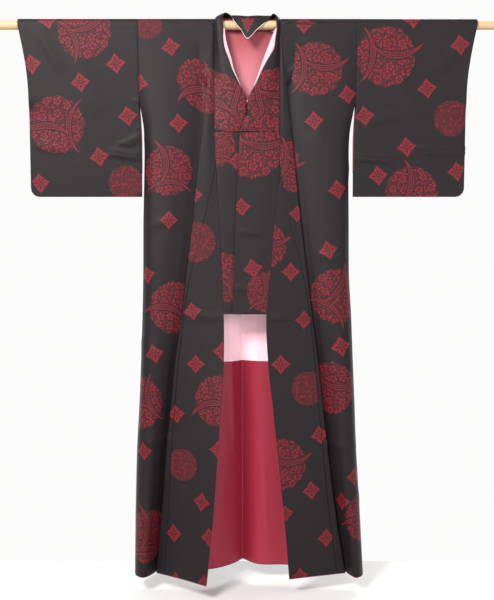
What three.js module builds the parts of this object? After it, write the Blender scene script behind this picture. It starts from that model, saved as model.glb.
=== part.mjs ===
// A lined silk kimono hung on a round wooden rod that runs through both sleeves.
// Millimetres, +Z up, the front faces -Y and the viewer's right is +X. The origin is the middle of the rod's axis.
// Each cut piece of cloth is a thin wall worked out from its own grid of points, across the cloth and along it.
import * as THREE from 'three';

// Cloth and seams
const CLOTH = 1.5;
const LINING = 1.2;
const SEAM_GAP = 0.3;

// Rod
const ROD_RADIUS = 12.5;
const ROD_HALF_LENGTH = 750;
const ROD_CHAMFER = 2;
const ROD_SIDES = 20;
const ROD_SLACK = 3.2;

// Lengths measured down from the rod's axis
const HEM = 1568;
const OVERLAP_TOP = 385;
const OVER_COLLAR_END = 297;
const COLLAR_END = 808;
const SHARE_AT_COLLAR = 0.97;
const SHARE_AT_HEM = 0.87;
const LINING_CHANGE = 955;

// Sleeve: width across the arm, drop, cuff opening and the sewn armhole
const SHOULDER_HALF = 305;
const SLEEVE_DROP = 478;
const CUFF_OPENING = 200;
const ARMHOLE = 205;
const SIDE_SEAM_TOP = 335;
const SLEEVE_CORNER = 25;
const CUFF_TOP_X = 641;
const CUFF_LOW_X = 615;
const SLEEVE_INNER_LOW_X = 299;

// Knife pleat from the side of the neck to the hem: its small turns grow to full size over the first stretch
const PLEAT_RADIUS = 1.75;
const PLEAT_DEPTH_START = 150;
const PLEAT_START_SHARE = 0.15;
const PLEAT_SPREAD = 5;
const PLEAT_STEPS = 4;

// Side fold of the front, as shares of its width past the crease: where it leaves the pleat, stands out and turns in
const FOLD_RISE = 0.16;
const FOLD_TOP = 0.55;
const FOLD_TURN = 0.87;

// Finish
const COLOURS = {
  cloth: 0x2c2426,
  collarLining: 0xf3c9d3,
  bodyLining: 0xee9fb0,
  skirtLining: 0x8f1f37,
  sleeveLining: 0x9c2440,
  rod: 0xcaa878,
};
const CLOTH_ROUGHNESS = 0.75;
const SMOOTH_ROUGHNESS = 0.5;

// Front half sections, one row for each height. x is measured outwards from the middle on either side.
// side: silhouette, crease: crisp edge of the pleat, edge: collar seam and, below the collar, the front edge.
// lap: cloth hidden in the pleat, less than nothing where the step is still open.
const FRONT_COLUMNS = ['depth', 'sideL', 'sideR', 'creaseL', 'creaseR', 'edgeL', 'edgeR', 'lap',
  'sideY', 'bulgeY', 'creaseY', 'edgeYL', 'edgeYR'];
const FRONT_ROWS = [
  [0, 305, 305, 98, 96, 94, 91, -60, 0, -17, -16, -16, -16],
  [110, 305, 305, 108, 105, 94, 91, -25, 0, -21, -20, -19, -21],
  [205, 303, 303, 117, 112, 94, 91, 10, -1, -26, -23, -22, -25],
  [297, 291, 288, 127, 122, 94, 91, 24, -6, -30, -26, -25, -30],
  [400, 291, 285, 139, 133, 88, 90, 34, -10, -34, -29, -29, -35],
  [550, 295, 287, 154, 150, 79, 75, 46, -10, -39, -32, -35, -42],
  [700, 297, 289, 173, 169, 72, 65, 57, -10, -44, -34, -42, -49],
  [808, 300, 296, 185, 182, 67, 53, 62, -9, -47, -34, -50, -55],
  [955, 306, 303, 207, 202, 67, 59, 66, -8, -51, -33, -63, -58],
  [1075, 312, 309, 219, 215, 75, 72, 66, -7, -54, -31, -76, -62],
  [1205, 320, 315, 233, 231, 84, 85, 64, -6, -57, -29, -90, -65],
  [1385, 326, 327, 247, 254, 97, 104, 58, -5, -60, -27, -108, -69],
  [1568, 330, 338, 264, 284, 116, 120, 50, -5, -62, -26, -126, -74],
];

// Back half sections: the middle seam sinks back between two lobes that come forward.
const BACK_COLUMNS = ['depth', 'middleX', 'middleY', 'lobeYL', 'lobeYR', 'flankYL', 'flankYR', 'quarterY'];
const BACK_ROWS = [
  [0, 0, 16, 16, 16, 16, 16, 16],
  [110, 0, 19, 18, 18, 18, 18, 18],
  [295, -3, 24, 20, 20, 19, 19, 20],
  [550, -8, 36, 25, 26, 20, 24, 21],
  [808, -13, 51, 32, 34, 20, 30, 22],
  [955, -16, 60, 35, 38, 18, 34, 22],
  [1205, -16, 76, 43, 43, 12, 38, 20],
  [1568, -15, 94, 52, 48, 5, 43, 16],
];
const LOBE_X = 38;
const FLANK_X = 115;
const QUARTER = 0.74;

// Neck edge of the body panels behind the rod: distance from the middle at each run of cloth past the shoulder line
const BACK_NECK_DROP = 25;
const NECK_COLUMNS = ['run', 'x'];
const NECK_ROWS = [[-52, 0], [-50, 30], [-45, 60], [-36, 78], [-24, 87], [-10, 91], [4, 93], [26, 94]];

// Collar band round the neck, a row for each station, from the viewer's left front over the back to the right front.
// run: where its seam lies along the body panel, back of the shoulder line negative.
// middle, fold and edge: points across the band, edge being the free one.
const BAND_COLUMNS = ['side', 'run', 'middle', 'fold', 'edge'];
const BAND_ROWS = [
  [-1, 323, [-57, -31, -297], [-20, -32, -297], [17, -32, -297]],
  [-1, 242, [-48, -31, -216], [-3, -32, -216], [-14, -27, -218]],
  [-1, 186, [-60, -31, -160], [-26, -34, -160], [-62, -26, -162]],
  [-1, 151, [-70, -30, -125], [-43, -33, -125], [-80, -24, -127]],
  [-1, 124, [-74, -29, -98], [-52, -32, -98], [-82, -21, -100]],
  [-1, 93, [-79, -28, -67], [-64, -30, -67], [-82, -18, -69]],
  [-1, 66, [-81, -26, -40], [-68, -28, -40], [-82, -17, -43]],
  [-1, 40, [-82, -24, -14], [-68, -25, -10], [-82, -18, -20]],
  [-1, 17, [-83, -20, 13], [-71, -20, 16], [-68, -15, 20]],
  [-1, 4, [-84, -5, 24], [-74, -8, 27], [-66, -10, 29]],
  [-1, -10, [-82, 6, 23], [-73, 2, 30], [-63, -4, 33]],
  [-1, -24, [-76, 15, 19], [-68, 8, 29], [-58, -4, 33]],
  [-1, -36, [-68, 17, 12], [-60, 7, 28], [-50, -11, 27]],
  [-1, -45, [-52, 18, 8], [-44, 2, 27], [-38, -17, 10]],
  [-1, -50, [-28, 18, 8], [-24, -6, 25], [-20, -21, -13]],
  [1, -51, [0, 18, 8], [0, -8, 23], [0, -27, -40]],
  [1, -50, [28, 18, 8], [26, -6, 25], [24, -21, -17]],
  [1, -45, [55, 18, 8], [50, 2, 26], [44, -16, 1]],
  [1, -36, [72, 17, 12], [67, 7, 27], [60, -11, 16]],
  [1, -24, [84, 14, 19], [80, 8, 27], [72, -3, 31]],
  [1, -10, [88, 5, 20], [84, 0, 25], [77, -5, 28]],
  [1, 4, [88, -6, 20], [84, -9, 23], [78, -10, 26]],
  [1, 17, [85, -19, 11], [84, -21, 13], [79, -15, 18]],
  [1, 40, [86, -23, -13], [84, -27, -13], [82, -18, -16]],
  [1, 66, [84, -27, -40], [79, -31, -40], [83, -18, -42]],
  [1, 93, [82, -32, -67], [75, -35, -67], [84, -20, -69]],
  [1, 124, [74, -34, -98], [57, -37, -98], [83, -24, -100]],
  [1, 151, [66, -36, -125], [42, -38, -125], [78, -27, -127]],
  [1, 186, [58, -38, -160], [26, -40, -160], [60, -32, -162]],
  [1, 242, [46, -39, -216], [0, -41, -216], [12, -36, -218]],
  [1, 323, [52, -38, -297], [15, -40, -297], [-21, -41, -297]],
];

// Lower collars: how far each band lies before its seam, and where its free edge runs
const LOWER_COLLAR_COLUMNS = ['depth', 'freeL', 'freeR', 'rise'];
const LOWER_COLLAR_ROWS = [
  [297, 17, -21, 6],
  [400, 15, -27, 4],
  [550, 22, -33, 3],
  [700, 30, -38, 3],
  [808, 36, -43, 3],
];
const UNDER_COLLAR_DROP = 2;

// Collar lining along the neck opening: how far it shows past the collar's fold, at the same stations as the band
const LINING_SHOW_COLUMNS = ['run', 'showL', 'showR'];
const LINING_SHOW_ROWS = [[40, 3, 4], [66, 5, 9], [93, 10, 17], [124, 10, 14], [151, 7, 9], [186, 5, 5], [242, 3, 3]];

// Smooth value of a table's column at a place, by cubic pieces with slopes taken from the neighbouring rows
function column(columns, rows, name, at) {
  const key = columns.indexOf(name);
  const last = rows.length - 1;
  let i = 0;
  while (i < last - 1 && at > rows[i + 1][0]) i += 1;
  const slope = (k) => {
    const low = Math.max(0, k - 1);
    const high = Math.min(last, k + 1);
    return (rows[high][key] - rows[low][key]) / (rows[high][0] - rows[low][0]);
  };
  const step = rows[i + 1][0] - rows[i][0];
  const t = Math.min(1, Math.max(0, (at - rows[i][0]) / step));
  const t2 = t * t;
  const t3 = t2 * t;
  return (2 * t3 - 3 * t2 + 1) * rows[i][key] + (t3 - 2 * t2 + t) * step * slope(i)
    + (3 * t2 - 2 * t3) * rows[i + 1][key] + (t3 - t2) * step * slope(i + 1);
}

const front = (name, depth) => column(FRONT_COLUMNS, FRONT_ROWS, name, depth);
const back = (name, depth) => column(BACK_COLUMNS, BACK_ROWS, name, depth);
const sided = (table, name, side, depth) => table(name + (side < 0 ? 'L' : 'R'), depth);
const smooth = (t) => {
  const c = Math.min(1, Math.max(0, t));
  return c * c * (3 - 2 * c);
};
const mix = (a, b, t) => a + (b - a) * t;

// Even points along a smooth curve through the given plan points
function through(points, count) {
  const curve = new THREE.CatmullRomCurve3(points.map(([x, y]) => new THREE.Vector3(x, y, 0)), false, 'centripetal');
  return Array.from({ length: count }, (_, i) => {
    const p = curve.getPointAt(i / (count - 1));
    return [p.x, p.y];
  });
}

// Half of the space between two layers that hang from the rod and meet at a sleeve's bottom, by share of its drop
const SHOULDER_RADIUS = ROD_RADIUS + ROD_SLACK + CLOTH / 2;
const CLOSED_HALF = (CLOTH + SEAM_GAP) / 2;
const layerHalf = (share, radius) => mix(CLOSED_HALF, radius, 1 - 0.5 * share - smooth(0.5 * share));

// Half of the space between front and back at the side of the body, open down to the top of the side seam
function sideHalf(depth) {
  const sewn = layerHalf(Math.min(depth, ARMHOLE) / SLEEVE_DROP, SHOULDER_RADIUS);
  return mix(sewn, SEAM_GAP / 2, smooth((depth - ARMHOLE) / (SIDE_SEAM_TOP - ARMHOLE)));
}

// Knife pleat in plan: the back layer turns round one small fold and the front layer turns back round another.
// With no overlap yet, the two turns are less than half a circle and the pleat is an open step.
function pleat(side, creaseX, creaseY, lap, depth) {
  const open = smooth(depth / PLEAT_DEPTH_START);
  const r = PLEAT_RADIUS * mix(PLEAT_START_SHARE, 1, open);
  const apart = 2 * r - lap;
  const turn = 2 * Math.atan2(2 * r, Math.max(apart, 0));
  const frontTurn = [];
  const backTurn = [];
  for (let i = 0; i <= PLEAT_STEPS; i += 1) {
    const a = turn * i / PLEAT_STEPS;
    const spread = PLEAT_SPREAD * (1 - open) * (1 - i / PLEAT_STEPS);
    frontTurn.push([side * (creaseX - r + r * Math.sin(a) - spread), creaseY + r - r * Math.cos(a)]);
    backTurn.push([side * (creaseX + r - lap - r * Math.sin(a) + spread), creaseY + 3 * r + r * Math.cos(a)]);
  }
  return { frontTurn, backTurn: backTurn.reverse(), backY: creaseY + 4 * r };
}

// One front section from the collar seam or front edge to the side: the inner panel, the pleat and the side fold
const INNER_STEPS = 3;
const SIDE_STEPS = 6;
const ACROSS = INNER_STEPS + 2 * (PLEAT_STEPS + 1) + SIDE_STEPS;
function frontSection(side, depth) {
  const edgeX = sided(front, 'edge', side, depth);
  const edgeY = sided(front, 'edgeY', side, depth);
  const creaseX = sided(front, 'crease', side, depth);
  const sideX = sided(front, 'side', side, depth);
  const creaseY = front('creaseY', depth);
  const bulgeY = front('bulgeY', depth);
  const sideY = front('sideY', depth) - sideHalf(depth);
  const fold = pleat(side, creaseX, creaseY, front('lap', depth), depth);
  const width = sideX - creaseX;
  const inner = through([[side * edgeX, edgeY], [side * mix(edgeX, creaseX, 0.5), mix(edgeY, creaseY, 0.56) - 2],
    fold.frontTurn[0]], INNER_STEPS + 1).slice(0, INNER_STEPS);
  const outer = through([fold.backTurn[fold.backTurn.length - 1],
    [side * (creaseX + FOLD_RISE * width), mix(fold.backY, bulgeY, 0.35)],
    [side * (creaseX + FOLD_TOP * width), bulgeY],
    [side * (creaseX + FOLD_TURN * width), mix(bulgeY, sideY, 0.3)],
    [side * sideX, sideY]], SIDE_STEPS + 1).slice(1);
  return { inner, turns: [...fold.frontTurn, ...fold.backTurn], outer };
}

// The overlap's share of the inner panel: a point at its top, all of the panel at the collar's end, less at the hem
function overlapShare(depth) {
  const rise = THREE.MathUtils.clamp((depth - OVERLAP_TOP) / (COLLAR_END - OVERLAP_TOP), 0, 1);
  const fall = THREE.MathUtils.clamp((depth - COLLAR_END) / (HEM - COLLAR_END), 0, 1);
  return SHARE_AT_COLLAR * (1 - (1 - rise) ** 2) - (SHARE_AT_COLLAR - SHARE_AT_HEM) * fall;
}

// Cut of the front body panel: the inner panel from the overlap's seam outwards, then the pleat and the side fold
function bodyFrontSection(side, depth) {
  const section = frontSection(side, depth);
  const from = seamShare(overlapShare(depth));
  const crease = section.turns[0];
  const inner = resample([...section.inner, crease], from, 1, INNER_STEPS + 1).slice(0, INNER_STEPS);
  return [...inner, ...section.turns, ...section.outer];
}

// The overlap's share of the inner panel, less half of the gap at the seam
const INNER_REFERENCE = 100;
const seamShare = (share) => (share > 0 ? share + SEAM_GAP / INNER_REFERENCE : 0);

// Points at even shares of a run of plan points, between two shares of its length
function resample(points, from, to, count) {
  const lengths = [0];
  for (let i = 1; i < points.length; i += 1) {
    lengths.push(lengths[i - 1] + Math.hypot(points[i][0] - points[i - 1][0], points[i][1] - points[i - 1][1]));
  }
  const total = lengths[lengths.length - 1];
  return Array.from({ length: count }, (_, k) => {
    const s = total * mix(from, to, k / (count - 1));
    let i = 1;
    while (i < points.length - 1 && lengths[i] < s) i += 1;
    const t = (s - lengths[i - 1]) / (lengths[i] - lengths[i - 1]);
    return [mix(points[i - 1][0], points[i][0], t), mix(points[i - 1][1], points[i][1], t)];
  });
}

// One back section from the middle seam to the side
function backSection(side, depth) {
  const sideX = sided(front, 'side', side, depth);
  const sideY = front('sideY', depth) + sideHalf(depth);
  const middleX = back('middleX', depth);
  const quarterY = back('quarterY', depth);
  const section = through([
    [middleX + side * SEAM_GAP / 2, back('middleY', depth)],
    [side * LOBE_X + middleX * 0.4, sided(back, 'lobeY', side, depth)],
    [side * FLANK_X, sided(back, 'flankY', side, depth)],
    [side * QUARTER * sideX, quarterY],
    [side * (sideX - 5), mix(sideY, quarterY, 0.45)],
    [side * sideX, sideY],
  ], ACROSS);
  const [start, next] = section;
  const steepness = Math.abs(next[1] - start[1]) / Math.hypot(next[0] - start[0], next[1] - start[1]);
  start[0] += side * steepness * CLOTH / 2;
  return section;
}

// Body panel: one length of cloth from the back hem, over the rod at the shoulder, to the front hem
const SHOULDER_RUN = SHOULDER_RADIUS * Math.PI / 2;
const FIRST_DEPTH = 14;
const BACK_DEPTHS = [HEM, 1385, 1205, LINING_CHANGE, COLLAR_END, 550, 330, ARMHOLE, 110, 50, 27,
  BACK_NECK_DROP + 0.5];
const FRONT_DEPTHS = [FIRST_DEPTH, 110, ARMHOLE, OVER_COLLAR_END, OVERLAP_TOP, 475, 550, 700, COLLAR_END,
  LINING_CHANGE, 1075, 1205, 1385, HEM];
const NECK_RUNS = [-50, -45, -36, -24, -10, 4, 17];

function bodyRow(side, run) {
  const depth = Math.abs(run) - SHOULDER_RUN;
  if (run <= -SHOULDER_RUN - BACK_NECK_DROP) return backSection(side, depth).map(([x, y]) => [x, y, -depth]);
  if (run >= SHOULDER_RUN) return bodyFrontSection(side, depth).map(([x, y]) => [x, y, -depth]);
  const from = column(NECK_COLUMNS, NECK_ROWS, 'x', run);
  const angle = Math.max(-1, run / SHOULDER_RUN) * Math.PI / 2;
  const below = Math.max(0, -run - SHOULDER_RUN);
  return Array.from({ length: ACROSS }, (_, k) => [
    side * mix(from, SHOULDER_HALF, k / (ACROSS - 1)),
    -SHOULDER_RADIUS * Math.sin(angle),
    SHOULDER_RADIUS * Math.cos(angle) - below,
  ]);
}

function bodyGrid(side) {
  const runs = [
    ...BACK_DEPTHS.map((depth) => -depth - SHOULDER_RUN),
    ...NECK_RUNS,
    ...FRONT_DEPTHS.map((depth) => depth + SHOULDER_RUN),
  ];
  return runs.map((run) => bodyRow(side, run));
}

// A closed wall from a grid of middle points: both faces stand half the thickness off, and the rim closes them
function wall(grid, thickness) {
  const rows = grid.length;
  const across = grid[0].length;
  const at = (j, i) => new THREE.Vector3(...grid[j][i]);
  const positions = [];
  const push = (point, normal, amount) => {
    const p = point.clone().addScaledVector(normal, amount);
    positions.push(p.x, p.y, p.z);
  };
  for (let j = 0; j < rows; j += 1) {
    for (let i = 0; i < across; i += 1) {
      const along = at(Math.min(rows - 1, j + 1), i).sub(at(Math.max(0, j - 1), i)).normalize();
      const before = i > 0 ? at(j, i).sub(at(j, i - 1)).normalize() : new THREE.Vector3();
      const after = i < across - 1 ? at(j, i + 1).sub(at(j, i)).normalize() : new THREE.Vector3();
      const over = before.add(after);
      const normal = over.cross(along).normalize();
      push(at(j, i), normal, thickness / 2);
      push(at(j, i), normal, -thickness / 2);
    }
  }
  const id = (j, i, face) => 2 * (j * across + i) + face;
  const index = [];
  const quad = (a, b, c, d) => index.push(a, b, c, a, c, d);
  for (let j = 0; j < rows - 1; j += 1) {
    for (let i = 0; i < across - 1; i += 1) {
      quad(id(j, i, 0), id(j, i + 1, 0), id(j + 1, i + 1, 0), id(j + 1, i, 0));
      quad(id(j, i, 1), id(j + 1, i, 1), id(j + 1, i + 1, 1), id(j, i + 1, 1));
    }
    quad(id(j, 0, 0), id(j + 1, 0, 0), id(j + 1, 0, 1), id(j, 0, 1));
    quad(id(j, across - 1, 1), id(j + 1, across - 1, 1), id(j + 1, across - 1, 0), id(j, across - 1, 0));
  }
  for (let i = 0; i < across - 1; i += 1) {
    quad(id(0, i, 1), id(0, i + 1, 1), id(0, i + 1, 0), id(0, i, 0));
    quad(id(rows - 1, i, 0), id(rows - 1, i + 1, 0), id(rows - 1, i + 1, 1), id(rows - 1, i, 1));
  }
  const geometry = new THREE.BufferGeometry();
  geometry.setAttribute('position', new THREE.Float32BufferAttribute(positions, 3));
  geometry.setIndex(index);
  return outward(geometry);
}

// Turns a closed surface right side out
function outward(geometry) {
  const p = geometry.getAttribute('position');
  const index = geometry.getIndex().array;
  const corner = (k) => new THREE.Vector3().fromBufferAttribute(p, index[k]);
  let volume = 0;
  for (let k = 0; k < index.length; k += 3) volume += corner(k).dot(corner(k + 1).cross(corner(k + 2)));
  if (volume < 0) {
    for (let k = 0; k < index.length; k += 3) [index[k + 1], index[k + 2]] = [index[k + 2], index[k + 1]];
  }
  geometry.computeVertexNormals();
  return geometry;
}

const group = new THREE.Group();
function add(name, geometry, colour, roughness) {
  const mesh = new THREE.Mesh(geometry, new THREE.MeshStandardMaterial({ color: colour, roughness, metalness: 0 }));
  mesh.name = name;
  group.add(mesh);
}

// Rod: a plain turned pole with small chamfers, along X
function rod() {
  const profile = [
    [0, -ROD_HALF_LENGTH], [ROD_RADIUS - ROD_CHAMFER, -ROD_HALF_LENGTH], [ROD_RADIUS, -ROD_HALF_LENGTH + ROD_CHAMFER],
    [ROD_RADIUS, ROD_HALF_LENGTH - ROD_CHAMFER], [ROD_RADIUS - ROD_CHAMFER, ROD_HALF_LENGTH], [0, ROD_HALF_LENGTH],
  ].map(([x, y]) => new THREE.Vector2(x, y));
  return new THREE.LatheGeometry(profile, ROD_SIDES).rotateZ(-Math.PI / 2);
}

// Overlap panel: from its seam in the inner panel to the front edge, and above that to the collar seam
const OVERLAP_ACROSS = 5;
const OVERLAP_TIP = OVERLAP_TOP + 8;
const OVERLAP_DEPTHS = [OVERLAP_TIP, ...FRONT_DEPTHS.filter((depth) => depth > OVERLAP_TIP)];
function overlapRows(side, depths) {
  return depths.map((depth) => {
    const section = frontSection(side, depth);
    const share = overlapShare(depth) - SEAM_GAP / INNER_REFERENCE;
    return resample([...section.inner, section.turns[0]], 0, share, OVERLAP_ACROSS).map(([x, y]) => [x, y, -depth]);
  });
}

// Sleeve: a folded length whose two layers close on each other towards the bottom and the outer seam
const SLEEVE_ACROSS = 7;
const SLEEVE_TOP_SHARES = [ARMHOLE, 110, FIRST_DEPTH].map((depth) => depth / SLEEVE_DROP);
const SLEEVE_SHARES = [1, 0.975, 0.948, 0.86, 0.62, ...SLEEVE_TOP_SHARES];
const SLEEVE_COLUMNS = Array.from({ length: SLEEVE_ACROSS }, (_, i) => i);
const SLEEVE_LINING_SHARES = SLEEVE_SHARES.slice(3);
const SLEEVE_LINING_COLUMNS = [0, 2, 4];
const SLEEVE_LINING_BACK = 1.5;
const SLEEVE_LINING_PROUD = 1;
const SLEEVE_CHANGE = 60;
const SLEEVE_SPACING = 1.4;
const liningEdge = (depth) => mix(SLEEVE_LINING_BACK, -SLEEVE_LINING_PROUD,
  smooth((depth - ARMHOLE) / SLEEVE_CHANGE));
const OVER_ROD_TURNS = [0.66, 0.33, 0, -0.33, -0.66];
const sleeveOuterX = (depth) => mix(CUFF_TOP_X, CUFF_LOW_X,
  Math.sin(Math.min(1, depth / CUFF_OPENING) * Math.PI / 2));
function sleeveInnerX(depth) {
  const sewn = front('sideL', Math.min(depth, ARMHOLE)) + 1.5 * SEAM_GAP;
  return mix(sewn, SLEEVE_INNER_LOW_X, smooth((depth - ARMHOLE) / (SIDE_SEAM_TOP - ARMHOLE)));
}
function sleeveGrid(side, inset, downShares, columns, edgeAt) {
  const radius = SHOULDER_RADIUS - inset;
  const acrossShares = columns.map((i) => 1 - (1 - i / (SLEEVE_ACROSS - 1)) ** SLEEVE_SPACING);
  const width = CUFF_LOW_X - SLEEVE_INNER_LOW_X;
  const dropAt = (share) => {
    const past = Math.max(0, share * width - (width - SLEEVE_CORNER));
    return SLEEVE_DROP - (SLEEVE_CORNER - Math.sqrt(SLEEVE_CORNER ** 2 - past ** 2));
  };
  const acrossAt = (share, depth) => side * mix(sleeveInnerX(depth) + edgeAt(depth), sleeveOuterX(depth), share);
  const layer = (facing, downShare) => acrossShares.map((share) => {
    const depth = downShare * dropAt(share);
    const closing = smooth((depth - CUFF_OPENING) / SLEEVE_CHANGE) * (1 - Math.sqrt(Math.min(1, (1 - share) * 3)));
    const half = mix(layerHalf(downShare, SHOULDER_RADIUS), CLOSED_HALF, closing) - inset;
    return [acrossAt(share, depth), facing * half, -depth];
  });
  const overRod = OVER_ROD_TURNS.map((turn) => acrossShares.map((share) => {
    const angle = turn * Math.PI / 2;
    return [acrossAt(share, 0), radius * Math.sin(angle), radius * Math.cos(angle)];
  }));
  return [
    ...downShares.map((share) => layer(1, share)),
    ...overRod,
    ...downShares.slice().reverse().map((share) => layer(-1, share)),
  ];
}

// Over-collar: a band from the left front round the back of the neck to the right front, seamed to the neck edge
const BAND_ACROSS = 10;
const BAND_SEAM_GAP = 1.2;
function bandGrid() {
  return BAND_ROWS.map(([side, run, middle, fold, edge]) => {
    const seamAt = (place) => new THREE.Vector3(...bodyRow(side, place)[0]);
    const seam = seamAt(run);
    const along = seamAt(run + 1).sub(seamAt(run - 1)).normalize();
    const turn = THREE.MathUtils.clamp(run / SHOULDER_RUN, -1, 1) * Math.PI / 2;
    const facing = new THREE.Vector3(0, -Math.sin(turn), Math.cos(turn));
    const away = along.cross(facing).normalize();
    const towards = new THREE.Vector3(...middle).sub(seam);
    const start = seam.addScaledVector(away, BAND_SEAM_GAP * Math.sign(away.dot(towards)));
    const curve = new THREE.CatmullRomCurve3([start, ...[middle, fold, edge].map((p) => new THREE.Vector3(...p))],
      false, 'centripetal');
    return Array.from({ length: BAND_ACROSS }, (_, i) => curve.getPoint(i / (BAND_ACROSS - 1)).toArray());
  });
}

// Lower collar: a flat band from its seam to its free edge, the right one lying over the left one
const LOWER_ACROSS = 5;
const LOWER_DEPTHS = [OVER_COLLAR_END + SEAM_GAP + CLOTH / 2, OVERLAP_TOP, 475, 550, 700, COLLAR_END - SEAM_GAP];
function lowerCollarGrid(side) {
  return LOWER_DEPTHS.map((depth) => {
    const value = (name) => column(LOWER_COLLAR_COLUMNS, LOWER_COLLAR_ROWS, name, depth);
    const seamX = side * (sided(front, 'edge', side, depth) - SEAM_GAP);
    const seamY = sided(front, 'edgeY', side, depth);
    const freeX = sided(value, 'free', side);
    const faceY = seamY - value('rise') + (side < 0 ? UNDER_COLLAR_DROP : 0);
    return through([[seamX, seamY], [mix(seamX, freeX, 0.3), faceY], [freeX, faceY]], LOWER_ACROSS)
      .map(([x, y]) => [x, y, -depth]);
  });
}

// Collar lining: a narrow strip behind the tucked half of the over-collar that shows past its fold
const TUCKED_POINT = 7;
const STRIP_OFF = (CLOTH + LINING) / 2 + SEAM_GAP;
const STRIP_FOLD_OFF = 3.4;
function liningStripGrid(side) {
  const band = bandGrid();
  return LINING_SHOW_ROWS.map((row) => {
    const station = BAND_ROWS.findIndex(([rowSide, run]) => rowSide === side && run === row[0]);
    const show = row[LINING_SHOW_COLUMNS.indexOf(side < 0 ? 'showL' : 'showR')];
    const [rootX, rootY, rootZ] = band[station][TUCKED_POINT];
    const [foldX, foldY] = BAND_ROWS[station][BAND_COLUMNS.indexOf('fold')];
    const off = new THREE.Vector2(-side * Math.abs(rootY - foldY), Math.abs(rootX - foldX)).normalize();
    const bendX = foldX + STRIP_FOLD_OFF * off.x;
    const bendY = foldY + STRIP_FOLD_OFF * off.y;
    return [[rootX + STRIP_OFF * off.x, rootY + STRIP_OFF * off.y, rootZ], [bendX, bendY, rootZ],
      [bendX - side * show, bendY + 1, rootZ]];
  });
}

// Points moved off a row by a distance across it, towards the left of its direction in plan, mitred at each point
function movedOff(points, distance) {
  return points.map((point, i) => {
    const here = new THREE.Vector2(...point);
    const before = here.clone().sub(new THREE.Vector2(...points[Math.max(0, i - 1)])).normalize();
    const after = new THREE.Vector2(...points[Math.min(points.length - 1, i + 1)]).sub(here).normalize();
    const along = before.clone().add(after).normalize();
    const reach = distance / Math.max(0.5, Math.max(along.dot(before), along.dot(after)));
    return [here.x - reach * along.y, here.y + reach * along.x];
  });
}

// Back lining: follows the points of both back panels on their inside, pale above and crimson below
const BACK_LINING_DEPTHS = [50, 110, 205, 330, 550, 808, LINING_CHANGE];
const BACK_SKIRT_DEPTHS = [LINING_CHANGE, 1205, 1385, HEM];
const LINING_INSET = CLOTH / 2 + SEAM_GAP + LINING / 2;
const LINING_END_GAP = 0.5;
const LINING_SHORT = 4;
function backLiningGrid(depths) {
  const [top, bottom] = [depths[0], depths[depths.length - 1]];
  return depths.map((depth) => {
    const full = [...backSection(-1, depth).reverse(), ...backSection(1, depth).slice(1)];
    const row = movedOff(full, -LINING_INSET).slice(LINING_SHORT, -LINING_SHORT);
    const z = -Math.min(bottom - LINING_END_GAP, Math.max(top + LINING_END_GAP, depth));
    return row.map(([x, y]) => [x, y, z]);
  });
}

// Front skirt lining: follows the overlap's points on the inside
const FRONT_SKIRT_DEPTHS = [LINING_CHANGE, 1075, 1205, 1385, HEM];
function frontLiningGrid(side) {
  return overlapRows(side, FRONT_SKIRT_DEPTHS).map((row) => {
    const z = Math.max(row[0][2], LINING_END_GAP - HEM);
    return movedOff(row, side * LINING_INSET).slice(0, -1).map(([x, y]) => [x, y, z]);
  });
}

add('rod', rod(), COLOURS.rod, SMOOTH_ROUGHNESS);
for (const [side, name] of [[-1, 'left'], [1, 'right']]) {
  add(`body_${name}`, wall(bodyGrid(side), CLOTH), COLOURS.cloth, CLOTH_ROUGHNESS);
  add(`overlap_${name}`, wall(overlapRows(side, OVERLAP_DEPTHS), CLOTH), COLOURS.cloth, CLOTH_ROUGHNESS);
  const sleeve = sleeveGrid(side, 0, SLEEVE_SHARES, SLEEVE_COLUMNS, () => 0);
  add(`sleeve_${name}`, wall(sleeve, CLOTH), COLOURS.cloth, CLOTH_ROUGHNESS);
  const sleeveLining = sleeveGrid(side, LINING_INSET, SLEEVE_LINING_SHARES, SLEEVE_LINING_COLUMNS, liningEdge);
  add(`sleeve_lining_${name}`, wall(sleeveLining, LINING), COLOURS.sleeveLining, SMOOTH_ROUGHNESS);
  add(`collar_${name}`, wall(lowerCollarGrid(side), CLOTH), COLOURS.cloth, CLOTH_ROUGHNESS);
  add(`collar_lining_${name}`, wall(liningStripGrid(side), LINING), COLOURS.collarLining, SMOOTH_ROUGHNESS);
  add(`skirt_lining_${name}`, wall(frontLiningGrid(side), LINING), COLOURS.skirtLining, SMOOTH_ROUGHNESS);
}
add('over_collar', wall(bandGrid(), CLOTH), COLOURS.cloth, CLOTH_ROUGHNESS);
add('back_lining', wall(backLiningGrid(BACK_LINING_DEPTHS), LINING), COLOURS.bodyLining, SMOOTH_ROUGHNESS);
add('skirt_lining_back', wall(backLiningGrid(BACK_SKIRT_DEPTHS), LINING), COLOURS.skirtLining, SMOOTH_ROUGHNESS);

export default group;
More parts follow.
